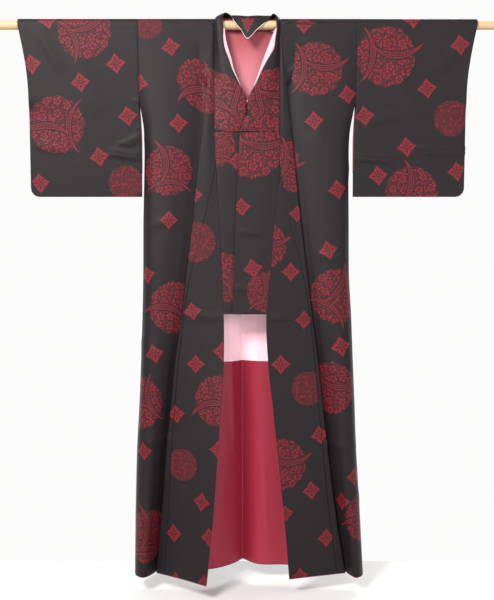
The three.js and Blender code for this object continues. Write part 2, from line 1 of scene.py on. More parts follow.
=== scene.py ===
import bpy
import numpy as np
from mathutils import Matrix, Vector


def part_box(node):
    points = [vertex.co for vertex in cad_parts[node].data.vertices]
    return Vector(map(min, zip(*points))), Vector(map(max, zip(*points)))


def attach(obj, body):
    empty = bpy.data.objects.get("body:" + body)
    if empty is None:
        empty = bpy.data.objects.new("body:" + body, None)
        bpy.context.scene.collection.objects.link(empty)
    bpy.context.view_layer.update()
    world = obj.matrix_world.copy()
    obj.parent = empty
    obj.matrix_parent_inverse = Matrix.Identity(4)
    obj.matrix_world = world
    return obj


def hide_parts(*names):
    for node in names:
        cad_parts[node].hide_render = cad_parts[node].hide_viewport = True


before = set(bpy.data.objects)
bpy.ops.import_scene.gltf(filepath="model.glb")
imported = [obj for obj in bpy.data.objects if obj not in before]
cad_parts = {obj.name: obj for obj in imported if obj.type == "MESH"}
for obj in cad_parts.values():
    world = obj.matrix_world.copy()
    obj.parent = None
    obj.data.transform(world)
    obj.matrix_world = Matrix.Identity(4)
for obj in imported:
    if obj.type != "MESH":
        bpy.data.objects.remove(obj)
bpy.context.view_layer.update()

# Camera: stands in front of the garment at the height of the waist and looks down a little.
# Its field of view is that of a short telephoto lens, and it has no depth of field.
CAMERA_PLACE = (-0.0014, -2.7, -0.536)
CAMERA_TILT = np.radians(85.0)
CAMERA_FIELD = np.radians(35.26)
lens = bpy.data.cameras.new("camera")
lens.sensor_fit = "VERTICAL"
lens.angle = CAMERA_FIELD
camera = bpy.data.objects.new("camera", lens)
camera.location = CAMERA_PLACE
camera.rotation_euler = (CAMERA_TILT, 0, 0)
bpy.context.scene.collection.objects.link(camera)
bpy.context.scene.camera = camera

# Rod: a planed and lightly oiled round pole of pale wood, 25 mm thick, that runs through both sleeves.
# Its ends are turned to a small round edge, and it is the part that something else holds up.
MM = 0.001
ROD_RADIUS = 12.5
ROD_HALF_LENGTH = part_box("rod")[1].x / MM
ROD_EDGE = 2.0
ROD_AROUND = 64
ROD_EDGE_STEPS = 5
ROD_STATIONS = 60
WOOD_PALE = (0.47, 0.34, 0.20, 1)
WOOD_DEEP = (0.34, 0.22, 0.11, 1)


class Thread:
    """One output of a material's nodes. Arithmetic on threads and plain numbers adds Math nodes."""

    def __init__(self, tree, socket=None):
        self.tree = tree
        self.socket = socket

    def node(self, kind, settings, sockets, output=0):
        """A new node: its settings are set first, then the values or threads of its sockets; gives one output."""
        node = self.tree.nodes.new("ShaderNode" + kind)
        for name, value in settings.items():
            if name == "stops":
                ramp = node.color_ramp.elements
                while len(ramp) < len(value):
                    ramp.new(0.5)
                for element, (place, colour) in zip(ramp, value):
                    element.position = place
                    element.color = colour
            else:
                setattr(node, name, value)
        for name, value in sockets.items():
            if isinstance(value, Thread):
                self.tree.links.new(value.socket, node.inputs[name])
            else:
                node.inputs[name].default_value = value
        return Thread(self.tree, node.outputs[output])

    def maths(self, operation, *values):
        """A Math node whose inputs are these threads and numbers, in order."""
        return self.node("Math", {"operation": operation}, dict(enumerate(values)))

    def __add__(self, other):
        return self.maths("ADD", self, other)

    def __sub__(self, other):
        return self.maths("SUBTRACT", self, other)

    def __rsub__(self, other):
        return self.maths("SUBTRACT", other, self)

    def __mul__(self, other):
        return self.maths("MULTIPLY", self, other)

    def __truediv__(self, other):
        return self.maths("DIVIDE", self, other)

    def __pow__(self, other):
        return self.maths("POWER", self, other)

    def __abs__(self):
        return self.maths("ABSOLUTE", self)

    __radd__ = __add__
    __rmul__ = __mul__

    def least(self, other):
        """The smaller of the two."""
        return self.maths("MINIMUM", self, other)

    def most(self, other):
        """The larger of the two."""
        return self.maths("MAXIMUM", self, other)

    def sine(self):
        """The sine of this thread, in radians."""
        return self.maths("SINE", self)

    def inside(self, softness):
        """1 where this thread is above nothing and 0 below, over an edge as wide as the softness."""
        return self.node("Math", {"operation": "DIVIDE", "use_clamp": True}, {0: self + softness / 2, 1: softness})

    def parts(self):
        """The x, y and z of a vector thread."""
        return [self.node("SeparateXYZ", {}, {0: self}, axis) for axis in range(3)]

    def between(self, colour, other):
        """Colour mixed towards the other one by this thread."""
        return self.node("Mix", {"data_type": "RGBA"}, {0: self, 6: colour, 7: other}, 2)


def finish_of(name, surface, bump_height, constants):
    """A material whose base colour, roughness and height, in parts of the bump height, come from one function."""
    material = bpy.data.materials.new(name)
    material.use_nodes = True
    tree = material.node_tree
    shader = tree.nodes["Principled BSDF"]
    start = Thread(tree)
    base, roughness, height = surface(start)
    bump = start.node("Bump", {}, {"Height": height, "Distance": bump_height, "Strength": 1.0})
    for socket, thread in (("Base Color", base), ("Roughness", roughness), ("Normal", bump)):
        tree.links.new(thread.socket, shader.inputs[socket])
    for socket, value in constants.items():
        shader.inputs[socket].default_value = value
    return material


def made_of(name, points, faces, materials, slots=None, maps=None):
    """A smooth mesh object from points in millimetres and faces of point numbers, with a material slot for each face
    and, for each named map, a pair of values at each face's corners."""
    mesh = bpy.data.meshes.new(name)
    mesh.from_pydata((points.reshape(-1, 3) * MM).tolist(), [], faces)
    for material in materials:
        mesh.materials.append(material)
    mesh.polygons.foreach_set("use_smooth", np.ones(len(faces), bool))
    if slots is not None:
        mesh.polygons.foreach_set("material_index", slots)
    for title, values in (maps or {}).items():
        layer = mesh.uv_layers.new(name=title)
        layer.data.foreach_set("uv", values.astype(np.float32).ravel())
    mesh.update()
    piece = bpy.data.objects.new(name, mesh)
    bpy.context.scene.collection.objects.link(piece)
    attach(piece, "root")
    return piece


def turned(profile, around):
    """A solid of revolution about X: point = (x, r cos a, r sin a), its first and last profile point on the axis."""
    angle = np.linspace(0, 2 * np.pi, around, endpoint=False)
    rings = profile[1:-1]
    x = np.broadcast_to(rings[:, :1], (len(rings), around))
    points = np.stack([x, rings[:, 1:] * np.cos(angle), rings[:, 1:] * np.sin(angle)], axis=2).reshape(-1, 3)
    poles = np.array([[profile[0, 0], 0, 0], [profile[-1, 0], 0, 0]])
    ring = np.arange((len(rings) - 1) * around).reshape(-1, around)
    after = np.roll(ring, -1, axis=1)
    quads = np.stack([ring, ring + around, after + around, after], axis=2).reshape(-1, 4)
    last = (len(rings) - 1) * around
    rim = np.arange(around)
    first_pole = np.stack([np.full(around, len(points)), rim, np.roll(rim, -1)], axis=1)
    last_pole = np.stack([np.full(around, len(points) + 1), np.roll(rim, -1) + last, rim + last], axis=1)
    return np.concatenate([points, poles]), quads.tolist() + first_pole.tolist() + last_pole.tolist()


def planed_wood(start):
    """Fine straight grain along the pole: noise stretched thirty times along X."""
    place = start.node("TexCoord", {}, {}, 3)
    along = start.node("Mapping", {}, {"Vector": place, "Scale": (3.0, 90.0, 90.0)})
    grain = start.node("TexNoise", {}, {"Vector": along, "Scale": 2.0, "Detail": 6.0, "Roughness": 0.6})
    return grain.between(WOOD_DEEP, WOOD_PALE), grain * 0.2 + 0.35, grain


edge_turn = np.linspace(0, np.pi / 2, ROD_EDGE_STEPS)
edge_x = ROD_EDGE * (1 - np.sin(edge_turn))
edge_radius = ROD_RADIUS - ROD_EDGE * (1 - np.cos(edge_turn))
stations = np.linspace(-ROD_HALF_LENGTH + ROD_EDGE, ROD_HALF_LENGTH - ROD_EDGE, ROD_STATIONS)
rod_profile = np.concatenate([
    [[-ROD_HALF_LENGTH, 0]],
    np.stack([edge_x - ROD_HALF_LENGTH, edge_radius], axis=1)[::-1],
    np.stack([stations, np.full(ROD_STATIONS, ROD_RADIUS)], axis=1)[1:-1],
    np.stack([ROD_HALF_LENGTH - edge_x, edge_radius], axis=1),
    [[ROD_HALF_LENGTH, 0]],
])
rod_wood = finish_of("rod_wood", planed_wood, 0.0003, {"Specular IOR Level": 0.4})
rod = made_of("pole", *turned(rod_profile, ROD_AROUND), [rod_wood])
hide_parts("rod")

# Body panels (migoro): one length of figured silk crepe each, from the back hem over the rod to the front hem.
# They are sewn together down the middle of the back, and the front folds in to a knife pleat from neck to hem.
# Woven crimson roundels of blossoms and small flower diamonds lie on the dark ground, each in its own place.
SIDES = ((-1, "left"), (1, "right"))
CLOTH = 1.5
SEAM_GAP = 0.3
ROD_SLACK = 3.2
HEM = 1568
OVERLAP_TOP = 385
OVER_COLLAR_END = 297
COLLAR_END = 808
SHARE_AT_COLLAR = 0.97
SHARE_AT_HEM = 0.87
LINING_CHANGE = 955
SHOULDER_HALF = 305
SLEEVE_DROP = 478
ARMHOLE = 205
SIDE_SEAM_TOP = 335
PLEAT_RADIUS = 1.75
PLEAT_DEPTH_START = 150
PLEAT_START_SHARE = 0.15
PLEAT_SPREAD = 5
PLEAT_STEPS = 7
VALLEY_PLACE = 0.05
VALLEY_DEPTH = 4.0
INNER_RISE = 0.56
INNER_SAG = 2
FOLD_RISE = 0.20
RISE_SHARE = 0.35
FOLD_TOP = 0.55
FOLD_TURN = 0.87
TURN_SHARE = 0.3
LOBE_X = 38
LOBE_DRIFT = 0.4
FLANK_X = 115
QUARTER = 0.74
SIDE_TURN = 5
SIDE_TURN_SHARE = 0.45
BACK_NECK_DROP = 25
SHOULDER_RADIUS = ROD_RADIUS + ROD_SLACK + CLOTH / 2
SHOULDER_RUN = SHOULDER_RADIUS * np.pi / 2
CLOSED_HALF = (CLOTH + SEAM_GAP) / 2
INNER_PLACES = 14
OUTER_PLACES = 30
BACK_PLACES = INNER_PLACES + 2 * (PLEAT_STEPS + 1) + OUTER_PLACES
CURVE_STEPS = 16
FRONT_COLUMNS = ["depth", "sideL", "sideR", "creaseL", "creaseR", "edgeL", "edgeR", "lap",
                 "sideY", "bulgeY", "creaseY", "edgeYL", "edgeYR"]
FRONT_ROWS = [
    [0, 305, 305, 98, 96, 94, 91, -60, 0, -17, -16, -16, -16],
    [110, 305, 305, 108, 105, 94, 91, -25, 0, -21, -20, -19, -21],
    [205, 303, 303, 117, 112, 94, 91, 10, -1, -26, -23, -22, -25],
    [297, 291, 288, 127, 122, 94, 91, 24, -6, -30, -26, -25, -30],
    [400, 291, 285, 139, 133, 88, 90, 34, -10, -34, -29, -29, -35],
    [550, 295, 287, 154, 150, 79, 75, 46, -10, -39, -32, -35, -42],
    [700, 297, 289, 173, 169, 72, 65, 57, -10, -44, -34, -42, -49],
    [808, 300, 296, 185, 182, 67, 53, 62, -9, -47, -34, -50, -55],
    [955, 306, 303, 207, 202, 67, 59, 66, -8, -51, -33, -63, -58],
    [1075, 312, 309, 219, 215, 75, 72, 66, -7, -54, -31, -76, -62],
    [1205, 320, 315, 233, 231, 84, 85, 64, -6, -57, -29, -90, -65],
    [1385, 326, 327, 247, 254, 97, 104, 58, -5, -60, -27, -108, -69],
    [1568, 330, 338, 264, 284, 116, 120, 50, -5, -62, -26, -126, -74],
]
BACK_COLUMNS = ["depth", "middleX", "middleY", "lobeYL", "lobeYR", "flankYL", "flankYR", "quarterY"]
BACK_ROWS = [
    [0, 0, 16, 16, 16, 16, 16, 16],
    [110, 0, 19, 18, 18, 18, 18, 18],
    [295, -3, 24, 20, 20, 19, 19, 20],
    [550, -8, 36, 25, 26, 20, 24, 21],
    [808, -13, 51, 32, 34, 20, 30, 22],
    [955, -16, 60, 35, 38, 18, 34, 22],
    [1205, -16, 76, 43, 43, 12, 38, 20],
    [1568, -15, 94, 52, 48, 5, 43, 16],
]
NECK_COLUMNS = ["run", "x"]
NECK_ROWS = [[-52, 0], [-50, 30], [-45, 60], [-36, 78], [-24, 87], [-10, 91], [4, 93], [26, 94]]

# Woven figures: places on the front as seen, in millimetres from the middle and down from the rod.
BLOSSOM_ROUNDEL = 1
SMALL_ROUNDEL = 2
DIAMOND = 3
BODY_FIGURES = {
    -1: [
        [277, 0, SMALL_ROUNDEL, 41, 0], [214, 63, DIAMOND, 28, 10], [302, 162, DIAMOND, 27, -10],
        [193, 274, DIAMOND, 28, 5], [124, 173, BLOSSOM_ROUNDEL, 76, 184], [223, 406, BLOSSOM_ROUNDEL, 71, 95],
        [151, 473, DIAMOND, 27, 0], [221, 543, DIAMOND, 27, 0], [284, 698, DIAMOND, 27, 15],
        [206, 791, BLOSSOM_ROUNDEL, 76, 170], [264, 921, DIAMOND, 28, 15], [309, 1063, BLOSSOM_ROUNDEL, 78, 200],
        [296, 1201, DIAMOND, 27, 5], [285, 1451, BLOSSOM_ROUNDEL, 80, 90],
    ],
    1: [
        [157, 0, DIAMOND, 28, 0], [191, 123, BLOSSOM_ROUNDEL, 76, 0], [280, 194, DIAMOND, 28, 10],
        [186, 267, DIAMOND, 28, 5], [139, 392, BLOSSOM_ROUNDEL, 76, -10], [253, 458, DIAMOND, 29, 10],
        [227, 628, DIAMOND, 28, 15], [251, 757, BLOSSOM_ROUNDEL, 78, 60], [265, 900, DIAMOND, 31, 12],
        [236, 1020, BLOSSOM_ROUNDEL, 77, 0], [306, 1276, DIAMOND, 28, 0], [272, 1349, DIAMOND, 28, 5],
        [340, 1395, BLOSSOM_ROUNDEL, 78, 180],
    ],
}
INNER_FIGURES = {
    -1: [
        [145, 605, SMALL_ROUNDEL, 56, 20], [156, 801, DIAMOND, 27, 10], [147, 951, DIAMOND, 28, 0],
        [204, 1097, DIAMOND, 28, 10], [186, 1241, SMALL_ROUNDEL, 47, 0], [130, 1340, DIAMOND, 28, -5],
        [212, 1443, DIAMOND, 28, 5], [206, 1580, DIAMOND, 28, 5], [71, 913, DIAMOND, 28, 0],
        [80, 1053, BLOSSOM_ROUNDEL, 74, 190], [83, 1189, DIAMOND, 27, 0], [108, 1435, DIAMOND, 28, 5],
        [122, 1562, DIAMOND, 24, 5],
    ],
    1: [
        [139, 526, DIAMOND, 24, 0], [45, 613, BLOSSOM_ROUNDEL, 66, 0], [122, 689, DIAMOND, 27, 0],
        [160, 826, DIAMOND, 27, 0], [94, 951, DIAMOND, 29, 0], [173, 1022, SMALL_ROUNDEL, 50, 0],
        [96, 1237, BLOSSOM_ROUNDEL, 75, 0], [207, 1158, DIAMOND, 28, 10], [183, 1318, DIAMOND, 28, 5],
        [109, 1378, DIAMOND, 24, 5], [228, 1460, DIAMOND, 28, 0], [151, 1562, DIAMOND, 24, 0],
    ],
}

# The figures' usual order along the bolt, for the sides that the front view hides: across, along, kind, size, turn.
EDGE_ON = 0.2
BOLT_REPEAT = 720
BOLT_FIGURES = [
    [75, 70, BLOSSOM_ROUNDEL, 77, 12], [215, 60, DIAMOND, 28, 5], [255, 190, SMALL_ROUNDEL, 52, 0],
    [150, 225, DIAMOND, 28, 12], [40, 235, DIAMOND, 28, -6], [220, 370, BLOSSOM_ROUNDEL, 77, 95],
    [75, 380, SMALL_ROUNDEL, 52, 40], [60, 505, DIAMOND, 28, 8], [160, 530, DIAMOND, 28, 0],
    [270, 560, DIAMOND, 28, 14], [160, 640, DIAMOND, 28, -8],
]


def smooth(share):
    """A smooth step from 0 to 1 as the share s goes from 0 to 1: three s squared less two s cubed."""
    share = np.clip(share, 0, 1)
    return share * share * (3 - 2 * share)


def mix(low, high, share):
    """The value at a share of the way from the low one to the high one."""
    return low + (high - low) * share


def column(columns, rows, name, at):
    """A table's column at the places `at`: a cubic piece in each gap, whose slope at a row is that of the straight
    line between the rows on both sides of it."""
    table = np.array(rows, float)
    places = table[:, 0]
    values = table[:, columns.index(name)]
    low = np.maximum(np.arange(len(table)) - 1, 0)
    high = np.minimum(np.arange(len(table)) + 1, len(table) - 1)
    slope = (values[high] - values[low]) / (places[high] - places[low])
    i = np.clip(np.searchsorted(places, at) - 1, 0, len(table) - 2)
    step = places[i + 1] - places[i]
    t = np.clip((at - places[i]) / step, 0, 1)
    return ((2 * t**3 - 3 * t**2 + 1) * values[i] + (t**3 - 2 * t**2 + t) * step * slope[i]
            + (3 * t**2 - 2 * t**3) * values[i + 1] + (t**3 - t**2) * step * slope[i + 1])


def sided(columns, rows, name, side, at):
    """The column of that name, or else that side's own, whose name ends in L or R."""
    return column(columns, rows, name if name in columns else name + ("L" if side < 0 else "R"), at)


def front(name, side, depth):
    """A measure of the front at each depth, in that side's column of its table."""
    return sided(FRONT_COLUMNS, FRONT_ROWS, name, side, depth)


def back(name, side, depth):
    """A measure of the back at each depth, in that side's column of its table."""
    return sided(BACK_COLUMNS, BACK_ROWS, name, side, depth)


def length_along(points):
    """How far along its row each point lies: the sum of the steps before it."""
    steps = np.linalg.norm(np.diff(points, axis=-2), axis=-1)
    return np.concatenate([np.zeros((*steps.shape[:-1], 1)), np.cumsum(steps, axis=-1)], axis=-1)


def unit(vectors):
    """Vectors of the same directions whose length is 1."""
    return vectors / np.maximum(np.linalg.norm(vectors, axis=-1, keepdims=True), 1e-9)


def at_shares(points, shares):
    """Points at the given shares of the length of each row of points, as (rows, places, axes)."""
    lengths = length_along(points)
    row = 2.0 * np.arange(len(points))[:, None]
    known = (lengths / lengths[:, -1:] + row).ravel()
    wanted = np.broadcast_to(shares, (len(points), np.shape(shares)[-1])) + row
    found = [np.interp(wanted.ravel(), known, points[:, :, axis].ravel()) for axis in range(points.shape[2])]
    return np.stack(found, axis=1).reshape(*wanted.shape, -1)


def through(points, count, even=True):
    """Rows of smooth curves through given points, at even lengths, or else with as many places in each stretch. Each
    stretch is a cubic, and its slope at a point weighs the chords on both sides by the square roots of their
    lengths."""
    first = 2 * points[:, :1] - points[:, 1:2]
    last = 2 * points[:, -1:] - points[:, -2:-1]
    p = np.concatenate([first, points, last], axis=1)
    chord = np.sqrt(np.linalg.norm(np.diff(p, axis=1), axis=2, keepdims=True))
    a, b, c, d = p[:, :-3], p[:, 1:-2], p[:, 2:-1], p[:, 3:]
    before, here, after = chord[:, :-2], chord[:, 1:-1], chord[:, 2:]
    start = ((b - a) / before - (c - a) / (before + here) + (c - b) / here) * here
    end = ((c - b) / here - (d - b) / (here + after) + (d - c) / after) * here
    t = (np.arange(CURVE_STEPS) / CURVE_STEPS)[:, None]
    b, c, start, end = (value[:, :, None] for value in (b, c, start, end))
    fine = b + t * start + t**2 * (3 * (c - b) - 2 * start - end) + t**3 * (2 * (b - c) + start + end)
    fine = np.concatenate([fine.reshape(len(points), -1, points.shape[2]), points[:, -1:]], axis=1)
    if even:
        return at_shares(fine, np.linspace(0, 1, count))
    return fine[:, np.linspace(0, fine.shape[1] - 1, count).round().astype(int)]


def plan(*places):
    """Rows of plan points from pairs of x and y, each a number or one value for each row."""
    count = max(np.size(value) for place in places for value in place)
    return np.stack([np.stack([np.broadcast_to(v, count) for v in place], axis=1) for place in places], axis=1)


def layer_half(share):
    """Half of the space between two layers that hang from the rod and meet at a sleeve's bottom: that at the rod,
    less half of the share of the drop and a smooth step of that half."""
    return mix(CLOSED_HALF, SHOULDER_RADIUS, 1 - 0.5 * share - smooth(0.5 * share))


def side_half(depth):
    """Half of the space between front and back at the side: a sleeve's down the armhole, then it closes smoothly."""
    sewn = layer_half(np.minimum(depth, ARMHOLE) / SLEEVE_DROP)
    return mix(sewn, SEAM_GAP / 2, smooth((depth - ARMHOLE) / (SIDE_SEAM_TOP - ARMHOLE)))


def front_section(side, depth):
    """Front cloth at each depth, from the collar's seam or front edge to the side, x outwards: the inner panel, the
    two turns of the knife pleat, each part of a circle, and the side fold that stands out from it."""
    edge, edge_y = front("edge", side, depth), front("edgeY", side, depth)
    crease, crease_y = front("crease", side, depth), front("creaseY", side, depth)
    bulge_y, lap = front("bulgeY", side, depth), front("lap", side, depth)
    side_x = front("side", side, depth)
    side_y = front("sideY", side, depth) - side_half(depth)
    opened = smooth(depth / PLEAT_DEPTH_START)[:, None]
    r = PLEAT_RADIUS * mix(PLEAT_START_SHARE, 1, opened)
    way = np.arange(PLEAT_STEPS + 1) / PLEAT_STEPS
    angle = 2 * np.arctan2(2 * r, np.maximum(2 * r - lap[:, None], 0)) * way
    spread = PLEAT_SPREAD * (1 - opened) * (1 - way)
    cx, cy = crease[:, None], crease_y[:, None]
    front_turn = np.stack([cx - r + r * np.sin(angle) - spread, cy + r - r * np.cos(angle)], axis=2)
    back_turn = np.stack([cx + r - lap[:, None] - r * np.sin(angle) + spread, cy + 3 * r + r * np.cos(angle)], axis=2)
    back_turn = back_turn[:, ::-1]
    back_y = crease_y + 4 * r[:, 0]
    width = side_x - crease
    start = front_turn[:, 0]
    inner = through(plan((edge, edge_y), (mix(edge, crease, 0.5), mix(edge_y, crease_y, INNER_RISE) - INNER_SAG),
                         (start[:, 0], start[:, 1])), INNER_PLACES + 1)[:, :-1]
    end = back_turn[:, -1]
    outer = through(plan((end[:, 0], end[:, 1]),
                         (crease + VALLEY_PLACE * width, back_y + VALLEY_DEPTH * opened[:, 0]),
                         (crease + FOLD_RISE * width, mix(back_y, bulge_y, RISE_SHARE)),
                         (crease + FOLD_TOP * width, bulge_y),
                         (crease + FOLD_TURN * width, mix(bulge_y, side_y, TURN_SHARE)),
                         (side_x, side_y)), OUTER_PLACES + 1)[:, 1:]
    return inner, front_turn, back_turn, outer


def overlap_share(depth):
    """The overlap panel's share of the inner panel: none at its top point, nearly all at the collar's end."""
    rise = np.clip((depth - OVERLAP_TOP) / (COLLAR_END - OVERLAP_TOP), 0, 1)
    fall = np.clip((depth - COLLAR_END) / (HEM - COLLAR_END), 0, 1)
    return SHARE_AT_COLLAR * (1 - (1 - rise)**2) - (SHARE_AT_COLLAR - SHARE_AT_HEM) * fall


def body_front(side, depth):
    """The front's section less the overlap's share of the inner panel, in even steps up to the pleat."""
    inner, front_turn, back_turn, outer = front_section(side, depth)
    panel = np.concatenate([inner, front_turn[:, :1]], axis=1)
    start = np.where(overlap_share(depth) > 0, overlap_share(depth) + SEAM_GAP / 100, 0)
    shares = mix(start[:, None], 1, np.linspace(0, 1, INNER_PLACES + 1))
    panel = at_shares(panel, shares)[:, :-1]
    return np.concatenate([panel, front_turn, back_turn, outer], axis=1)


def body_back(side, depth):
    """Back cloth at each depth, from the middle seam to the side: the seam sinks back between two soft lobes."""
    side_x, quarter_y = front("side", side, depth), back("quarterY", side, depth)
    side_y = front("sideY", side, depth) + side_half(depth)
    middle = side * back("middleX", side, depth)
    section = through(plan(
        (middle + SEAM_GAP / 2, back("middleY", side, depth)),
        (LOBE_X + middle * LOBE_DRIFT, back("lobeY", side, depth)),
        (FLANK_X, back("flankY", side, depth)),
        (QUARTER * side_x, quarter_y),
        (side_x - SIDE_TURN, mix(side_y, quarter_y, SIDE_TURN_SHARE)),
        (side_x, side_y)), BACK_PLACES)
    first = section[:, 1] - section[:, 0]
    section[:, 0, 0] += np.abs(first[:, 1]) / np.linalg.norm(first, axis=1) * CLOTH / 2
    return section


def lowered(side, depth, section):
    """Plan points, x outwards, as points in space at their depth on that side."""
    z = np.broadcast_to(-depth[:, None], section.shape[:2])
    return np.stack([side * section[:, :, 0], section[:, :, 1], z], axis=2)


def neck_x(run):
    """How far the neck's edge lies from the middle at each run of cloth."""
    return column(NECK_COLUMNS, NECK_ROWS, "x", run)


def over_rod(side, run):
    """Cloth over the rod at each run of cloth from the shoulder line: round the rod, then down to the back neck."""
    across = mix(neck_x(run)[:, None], SHOULDER_HALF, np.linspace(0, 1, BACK_PLACES))
    angle = np.maximum(-1, run / SHOULDER_RUN)[:, None] * np.pi / 2
    below = np.maximum(0, -run - SHOULDER_RUN)[:, None]
    y = np.broadcast_to(-SHOULDER_RADIUS * np.sin(angle), across.shape)
    return np.stack([side * across, y, SHOULDER_RADIUS * np.cos(angle) - below + 0 * across], axis=2)


def cloth_places(grid, runs):
    """Each grid point's place on its flat cloth: millimetres across from the last column, and along the length."""
    across = length_along(grid)
    across = across[:, -1:] - across
    return np.stack([across, np.broadcast_to(runs[:, None], across.shape)], axis=2)


def placed(figures, side, grid, cloth, shown):
    """Figures given by their place as seen from the front, as rows of place on the cloth, kind, size, turn and the
    cloth's two directions as seen. The nearest shown grid point gives them, and the rest of the way is added. A
    figure that doesn't reach the piece is dropped."""
    rows = np.array(figures, float)
    seen = grid[:, :, ::2]
    steps = np.stack(np.gradient(seen, axis=(0, 1)), axis=3)[shown]
    cloth_steps = np.stack(np.gradient(cloth, axis=(0, 1)), axis=3)[shown]
    wanted = rows[:, :2] * (side, -1)
    away = np.linalg.norm(seen[shown] - wanted[:, None], axis=2) + grid[shown][:, 1]
    nearest = away.argmin(axis=1)
    to_view = steps[nearest] @ np.linalg.inv(cloth_steps[nearest])
    rest = (wanted - seen[shown][nearest])[:, :, None]
    on_cloth = cloth[shown][nearest] + (np.linalg.pinv(to_view, rcond=EDGE_ON) @ rest)[:, :, 0]
    to_view /= np.linalg.norm(to_view, axis=1, keepdims=True)
    reaches = np.linalg.norm(rest, axis=1)[:, 0] < rows[:, 3]
    return np.concatenate([on_cloth, rows[:, 2:], to_view.reshape(-1, 4)], axis=1)[reaches]


def bolt(side, low, high, shift):
    """The figures of the plain bolt between two places along the cloth."""
    rows = np.array(BOLT_FIGURES, float)
    repeats = np.arange(np.floor((low - shift) / BOLT_REPEAT), np.ceil((high - shift) / BOLT_REPEAT))
    along = rows[None, :, 1] + BOLT_REPEAT * repeats[:, None] + shift
    full = np.broadcast_to(rows, (len(repeats), *rows.shape)).reshape(-1, 5).copy()
    full[:, 1] = along.ravel()
    full = full[(full[:, 1] > low) & (full[:, 1] < high)]
    return np.concatenate([full, np.broadcast_to((-side, 0, 0, -1), (len(full), 4))], axis=1)


FIGURE_REACH = 1.3
MAP_STEP = 4
MAP_NUMBERS = 5
NO_FIGURE = (0.0, 0.0)


def figure_map(cloth, quads, figures):
    """For each face's corners, the place in units of its nearest figure's size, moved by whole steps that say which
    kind of figure it is and which one of its kind. Faces with no figure near them get one fixed place."""
    corners = cloth.reshape(-1, 2)[quads]
    middle = corners.mean(axis=1)
    share = np.linalg.norm(middle[:, None] - figures[:, :2], axis=2) / figures[:, 3]
    nearest = share.argmin(axis=1)
    figure = figures[nearest][:, None]
    off = (corners - figure[:, :, :2]) / figure[:, :, 3:4]
    x = (off * figure[:, :, 5:7]).sum(axis=2)
    y = (off * figure[:, :, 7:9]).sum(axis=2)
    turn = np.radians(figure[:, :, 4])
    local = np.stack([x * np.cos(turn) + y * np.sin(turn), y * np.cos(turn) - x * np.sin(turn)], axis=2)
    local[:, :, 0] += MAP_STEP * figure[:, :, 2]
    local[:, :, 1] += MAP_STEP * (nearest % MAP_NUMBERS)[:, None]
    near = share.min(axis=1) < FIGURE_REACH
    return np.where(near[:, None, None], local, NO_FIGURE)


def rounded_edge(grid, reach):
    """The grid with one more row and column just inside each edge, so that the wall can thin out to a soft edge."""
    for axis in (0, 1):
        moved = np.moveaxis(grid, axis, 0)
        ends = moved[[0, -1]]
        steps = moved[[1, -2]] - ends
        near = ends + steps * reach / np.maximum(np.linalg.norm(steps[..., :3], axis=-1, keepdims=True), reach)
        moved = np.concatenate([moved[:1], near[:1], moved[1:-1], near[1:], moved[-1:]])
        grid = np.moveaxis(moved, 0, axis)
    return grid


EDGE_SHARE = 0.8
TIGHT_SHARE = 0.85
CREASE_FADE = 0.3
CREASE_END = 0.35


def bend_radius(grid):
    """The radius to which each row bends at each point: the shorter step beside it over the angle it turns."""
    steps = np.diff(grid, axis=1)
    lengths = np.linalg.norm(steps, axis=2)
    ways = unit(steps)
    turned_by = np.arccos(np.clip((ways[:, 1:] * ways[:, :-1]).sum(axis=2), -1, 1))
    radius = np.minimum(lengths[:, 1:], lengths[:, :-1]) / np.maximum(turned_by, 1e-6)
    return np.pad(radius, ((0, 0), (1, 1)), mode="edge")


def wall(name, grid, cloth, thickness, materials, figures=None, outward=1, lined=None, creases=()):
    """A closed wall of cloth: both faces stand half the thickness off the grid along its normals, less at the soft
    edge and in bends too tight for it. The rim closes them. The first material is on the outer face and the rim, and
    the second one on the inner face where it is lined."""
    lined = np.zeros(grid.shape[:2], bool) if lined is None else lined
    full = rounded_edge(np.concatenate([grid, cloth, lined[:, :, None]], axis=2), thickness / 2)
    grid, cloth, lined = full[:, :, :3], full[:, :, 3:5], full[:-1, :-1, 5] > 0.5
    along = np.gradient(grid, axis=0)
    across = np.gradient(grid, axis=1)
    normal = unit(outward * np.cross(across, along))
    for row in creases:
        grid = grid + normal * crease(grid, *row)[:, :, None]
    half = np.minimum(thickness / 2, TIGHT_SHARE * bend_radius(grid))[:, :, None]
    half[[0, -1]] *= EDGE_SHARE
    half[:, [0, -1]] *= EDGE_SHARE
    points = np.concatenate([(grid + normal * half).reshape(-1, 3), (grid - normal * half).reshape(-1, 3)])
    rows, columns = grid.shape[:2]
    count = rows * columns
    ids = np.arange(count).reshape(rows, columns)
    quads = np.stack([ids[:-1, :-1], ids[:-1, 1:], ids[1:, 1:], ids[1:, :-1]], axis=2).reshape(-1, 4)
    rim = np.concatenate([ids[0, :-1], ids[:-1, -1], ids[-1, :0:-1], ids[:0:-1, 0]])
    after = np.roll(rim, -1)
    rim_quads = np.stack([after, rim, rim + count, after + count], axis=1)
    faces = np.concatenate([quads, quads[:, ::-1] + count, rim_quads])
    if np.sum(volumes(points, faces)) < 0:
        faces = faces[:, ::-1]
        quads = faces[:len(quads)]
    slots = np.concatenate([np.zeros(len(quads), int), lined.ravel().astype(int), np.zeros(len(rim_quads), int)])
    places = np.concatenate([cloth.reshape(-1, 2), cloth.reshape(-1, 2)])
    maps = {"cloth": places[faces] * MM}
    if figures is not None:
        maps["figures"] = figure_map(places, faces, figures)
    return made_of(name, points, faces.tolist(), materials, slots, maps)


def volumes(points, faces):
    """Six times the signed volume under each quad, as two triangles."""
    a, b, c, d = (points[faces[:, k]] for k in range(4))
    return (a * np.cross(b, c)).sum(axis=1) + (a * np.cross(c, d)).sum(axis=1)


